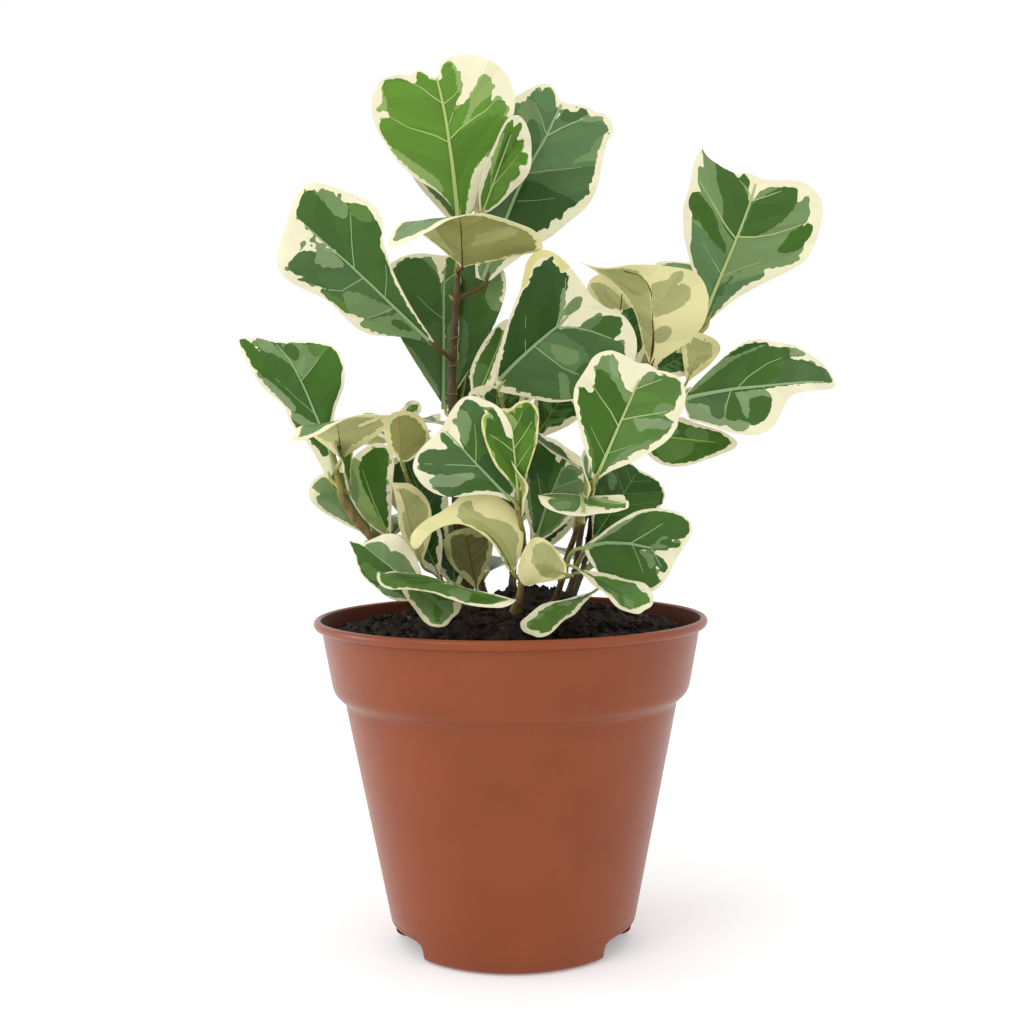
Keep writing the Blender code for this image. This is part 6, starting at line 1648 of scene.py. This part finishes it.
side = [(69.2, 112.0), (66.4, 98.0), (60.6, 90.0), (45.2, 12.2), (29.4, 11.4), (28.6, 3.4), (0.01, 3.4)]
V2, F2, prev, base = [], [], (rings - 1) * secs, len(V)
for r, z in side:
    V2.append(np.stack([r * np.cos(ang), r * np.sin(ang), np.full(secs, z)], 1))
    k = np.arange(secs)
    n = (k + 1) % secs
    F2 += [np.stack([prev + k, base + k, base + n], 1), np.stack([prev + k, base + n, prev + n], 1)]
    prev, base = base, base + secs
earth, nt, p, b = patterned("potting_mix", (18, 12, 10), (48, 36, 31), 320, 0.85, 1.0, 0.0015, level=0.3)
bag = Bag()
bag.add(np.concatenate([V, *V2]), np.concatenate([F, *F2]), earth)
keep(bag.build("soil_bed"), "earth", "soil")

crumbs = [leaf_material("crumb_" + n, c, 0.9, 0.2, 0.8, 400)
          for n, c in (("dark", (24, 17, 14)), ("brown", (46, 34, 29)), ("bark", (76, 58, 46)))]
ico = np.array([(0, 0, 1), (0.894, 0, 0.447), (0.276, 0.851, 0.447), (-0.724, 0.526, 0.447),
                (-0.724, -0.526, 0.447), (0.276, -0.851, 0.447), (0.724, 0.526, -0.447),
                (-0.276, 0.851, -0.447), (-0.894, 0, -0.447), (-0.276, -0.851, -0.447),
                (0.724, -0.526, -0.447), (0, 0, -1)])
tri = np.array([(0, 1, 2), (0, 2, 3), (0, 3, 4), (0, 4, 5), (0, 5, 1), (1, 6, 2), (2, 7, 3), (3, 8, 4),
                (4, 9, 5), (5, 10, 1), (2, 6, 7), (3, 7, 8), (4, 8, 9), (5, 9, 10), (1, 10, 6),
                (11, 7, 6), (11, 8, 7), (11, 9, 8), (11, 10, 9), (11, 6, 10)])
bag = Bag()
for k in range(4200):
    r, w = 66.5 * math.sqrt(rng.uniform()), rng.uniform(0, 2 * np.pi)
    size = 0.28 + 1.25 * rng.uniform() ** 3.2
    x, y = r * math.cos(w), r * math.sin(w)
    z = float(heap(x, y)) - 0.5 + 0.25 * size + rng.uniform(-0.3, 0.8)
    s = np.array([rng.uniform(0.7, 1.8), rng.uniform(0.5, 1.1), rng.uniform(0.4, 0.9)]) * size
    turn = Matrix.Rotation(rng.uniform(0, 6.28), 3, "Z") @ Matrix.Rotation(rng.uniform(-0.9, 0.9), 3, "X")
    pts = (ico * (1 + 0.30 * rng.standard_normal((12, 1)))) * s
    bag.add(pts @ np.array(turn).T + (x, y, z), tri, crumbs[rng.choice(3, p=[0.66, 0.28, 0.06])])
keep(bag.build("soil_crumbs"), "earth")


# ------------------------------------------------------------------ pot ----
def lathe(profile, sides):
    pts, faces, rows = [], [], []
    for r, z in profile:
        if r < 1e-6:
            rows.append([len(pts)])
            pts.append((0, 0, z * MM))
        else:
            rows.append(list(range(len(pts), len(pts) + sides)))
            pts += [(r * MM * math.sin(2 * math.pi * (i + 0.5) / sides),
                     -r * MM * math.cos(2 * math.pi * (i + 0.5) / sides), z * MM) for i in range(sides)]
    for a, b in zip(rows, rows[1:]):
        for i in range(sides):
            j = (i + 1) % sides
            if len(a) == 1:
                faces.append((a[0], b[i], b[j]))
            elif len(b) == 1:
                faces.append((a[i], a[j], b[0]))
            else:
                faces.append((a[i], a[j], b[j], b[i]))
    return pts, faces


outside = [(0, 0.0), (30, 0.0), (41.6, 0.0), (42.6, 0.15), (44.0, 0.7), (45.0, 1.4), (45.5, 2.2),
           (45.9, 4.5), (46.8, 6.9), (47.5, 9.3), (47.62, 9.9), (47.55, 10.2), (47.72, 10.5)]
outside += [(45.65 + 0.1955 * z, z) for z in (13, 20, 30, 40, 50, 60, 70, 80, 87, 91)]
outside += [(63.5, 92.6), (63.9, 93.2), (64.8, 94.2), (66.0, 95.2), (67.2, 96.4), (68.0, 97.7), (68.45, 99.0),
            (68.8, 100.6), (69.4, 104), (70.3, 109), (71.2, 114), (71.9, 118.2), (72.2, 120.2), (72.35, 120.7),
            (72.9, 121.0), (73.8, 121.2), (74.7, 121.7), (75.2, 122.4), (75.4, 123.2), (75.2, 124.1),
            (74.7, 124.7), (74.0, 125.0)]
within = [(73.3, 124.9), (72.8, 124.4), (72.4, 123.6), (71.6, 120.8), (70.8, 117), (69.6, 111), (67.3, 101.5),
          (66.8, 99.6), (66.0, 98.0), (64.8, 96.6), (63.0, 95.0), (61.9, 93.4), (61.4, 91), (53.5, 50),
          (46.2, 13), (45.6, 11.9), (44.6, 11.4), (30.4, 11.0), (29.4, 10.6), (29.0, 9.8), (29, 3.2), (28.4, 3.0), (0, 3.0)]


def outward(mesh):
    """Turns all faces of a closed mesh outwards."""
    bm = bmesh.new()
    bm.from_mesh(mesh)
    bmesh.ops.recalc_face_normals(bm, faces=bm.faces)
    bm.to_mesh(mesh)
    bm.free()


pts, faces = lathe(outside + within, 180)
me = bpy.data.meshes.new("pot_shell")
me.from_pydata(pts, [], faces)
outward(me)
shell = bpy.data.objects.new("pot_shell", me)
bpy.context.scene.collection.objects.link(shell)
for k, mid in enumerate((-67.5, 67.5, 180.0)):
    a0, a1 = math.radians(mid - 21.0), math.radians(mid + 21.0)
    n = 24
    arch = []
    for z in (-5.0, 8.6):
        for r in (33.0, 60.0):
            arch.append([((r + 0) * math.sin(a0 + (a1 - a0) * i / n) * MM,
                          -(r + 0) * math.cos(a0 + (a1 - a0) * i / n) * MM,
                          (z if z < 0 else z - 1.5 * abs(2 * i / n - 1) ** 8) * MM) for i in range(n + 1)])
    cp = [p for row in arch for p in row]
    m = n + 1
    cf = []
    for i in range(n):
        cf += [(i, m + i, m + i + 1, i + 1), (2 * m + i, 2 * m + i + 1, 3 * m + i + 1, 3 * m + i),
               (i, i + 1, 2 * m + i + 1, 2 * m + i), (m + i, 3 * m + i, 3 * m + i + 1, m + i + 1)]
    cf += [(0, 2 * m, 3 * m, m), (n, m + n, 3 * m + n, 2 * m + n)]
    cm = bpy.data.meshes.new("notch")
    cm.from_pydata(cp, [], cf)
    outward(cm)
    cut = bpy.data.objects.new("notch_%d" % k, cm)
    bpy.context.scene.collection.objects.link(cut)
    mod = shell.modifiers.new("cut", "BOOLEAN")
    mod.operation, mod.solver, mod.object = "DIFFERENCE", "EXACT", cut
dg = bpy.context.evaluated_depsgraph_get()
baked = bpy.data.meshes.new_from_object(shell.evaluated_get(dg))
shell.modifiers.clear()
shell.data = baked
for ob in [o for o in bpy.data.objects if o.name.startswith("notch_")]:
    bpy.data.objects.remove(ob, do_unlink=True)
baked.shade_smooth()
baked.set_sharp_from_angle(angle=math.radians(38))

plastic, nt, p, b = patterned("terracotta_plastic", (126, 57, 20), (135, 63, 25), 34, 0.33, 0.12, 0.0004,
                              level=0.34)
fine = nt.nodes.new("ShaderNodeTexNoise")
fine.inputs["Scale"].default_value = 900
fine.inputs["Detail"].default_value = 2
tc = nt.nodes.new("ShaderNodeTexCoord")
ringy = nt.nodes.new("ShaderNodeMapping")
ringy.inputs["Scale"].default_value = (0.35, 0.35, 2.2)
nt.links.new(tc.outputs["Object"], ringy.inputs["Vector"])
nt.links.new(ringy.outputs["Vector"], fine.inputs["Vector"])
b2 = nt.nodes.new("ShaderNodeBump")
b2.inputs["Strength"].default_value = 0.10
b2.inputs["Distance"].default_value = 0.0003
nt.links.new(fine.outputs["Fac"], b2.inputs["Height"])
nt.links.new(b.outputs["Normal"], b2.inputs["Normal"])
nt.links.new(b2.outputs["Normal"], p.inputs["Normal"])
# Painted shade: the inside of the pot wall gets a darker, duller copy of the plastic to stand for the shade inside
# it.
inner, nt, p, b = patterned("terracotta_inside_painted_shade", (84, 34, 16), (96, 42, 22), 34, 0.62, 0.2, 0.0004, level=0.12)
baked.materials.clear()
baked.materials.append(plastic)
baked.materials.append(inner)
# faces inside the wall take the painted-shade copy; the rest keep the plain plastic
for f in baked.polygons:
    c = f.center / MM
    r = math.hypot(c.x, c.y)
    wall = np.interp(c.z, [0, 12, 92, 96, 101, 118, 124], [44.5, 46.9, 62.7, 65.5, 67.9, 71.4, 72.6])
    f.material_index = 1 if r < wall and 2.5 < c.z < 124.2 else 0
keep(shell, "plastic", "pot")

# ----------------------------------------------------- floor, light, camera ----
me = bpy.data.meshes.new("floor")
me.from_pydata([(-9, -9, 0), (9, -9, 0), (9, 9, 0), (-9, 9, 0)], [], [(0, 1, 2, 3)])
floor = bpy.data.objects.new("floor", me)
bpy.context.scene.collection.objects.link(floor)
pale, nt, p, b = patterned("pale_floor", (236, 236, 236), (240, 240, 240), 3, 0.9, 0.02, 0.0005, level=0.05)
p.inputs["Emission Color"].default_value = (1, 1, 1, 1)
p.inputs["Emission Strength"].default_value = 0.22
me.materials.append(pale)

world = bpy.data.worlds.new("studio")
bpy.context.scene.world = world
world.use_nodes = True
world.node_tree.nodes["Background"].inputs["Color"].default_value = (1, 1, 1, 1)
world.node_tree.nodes["Background"].inputs["Strength"].default_value = 1.0


def soft_light(name, where, aim, size, energy, tint=(1, 1, 1)):
    li = bpy.data.lights.new(name, "AREA")
    li.shape = "SQUARE"
    li.size = size
    li.energy = energy
    li.color = tint
    ob = bpy.data.objects.new(name, li)
    bpy.context.scene.collection.objects.link(ob)
    way = Vector(aim) - Vector(where)
    ob.matrix_world = Matrix.Translation(where) @ way.to_track_quat("-Z", "Y").to_matrix().to_4x4()
    return ob


soft_light("key", (-0.9, -1.1, 1.3), (0, 0, 0.2), 0.9, 7)
soft_light("rim_left", (-1.3, 0.1, 0.35), (0, 0, 0.12), 0.5, 4)
soft_light("fill", (1.2, -0.9, 0.6), (0, 0, 0.15), 1.2, 1.2)

bpy.context.scene.view_settings.view_transform = "Standard"
bpy.context.scene.view_settings.look = "None"

cam = bpy.data.cameras.new("camera")
cam.lens = 36 * 1406 / 1024
cam.sensor_width = 36
cam.clip_start = 0.01
camera = bpy.data.objects.new("camera", cam)
bpy.context.scene.collection.objects.link(camera)
camera.matrix_world = (Matrix.Translation((0.0009, -0.541, 0.188))
                       @ Matrix.Rotation(math.pi / 2 - 0.0429, 4, "X")
                       @ Matrix.Rotation(-0.0094, 4, "Z"))
bpy.context.scene.camera = camera

bpy.context.view_layer.update()
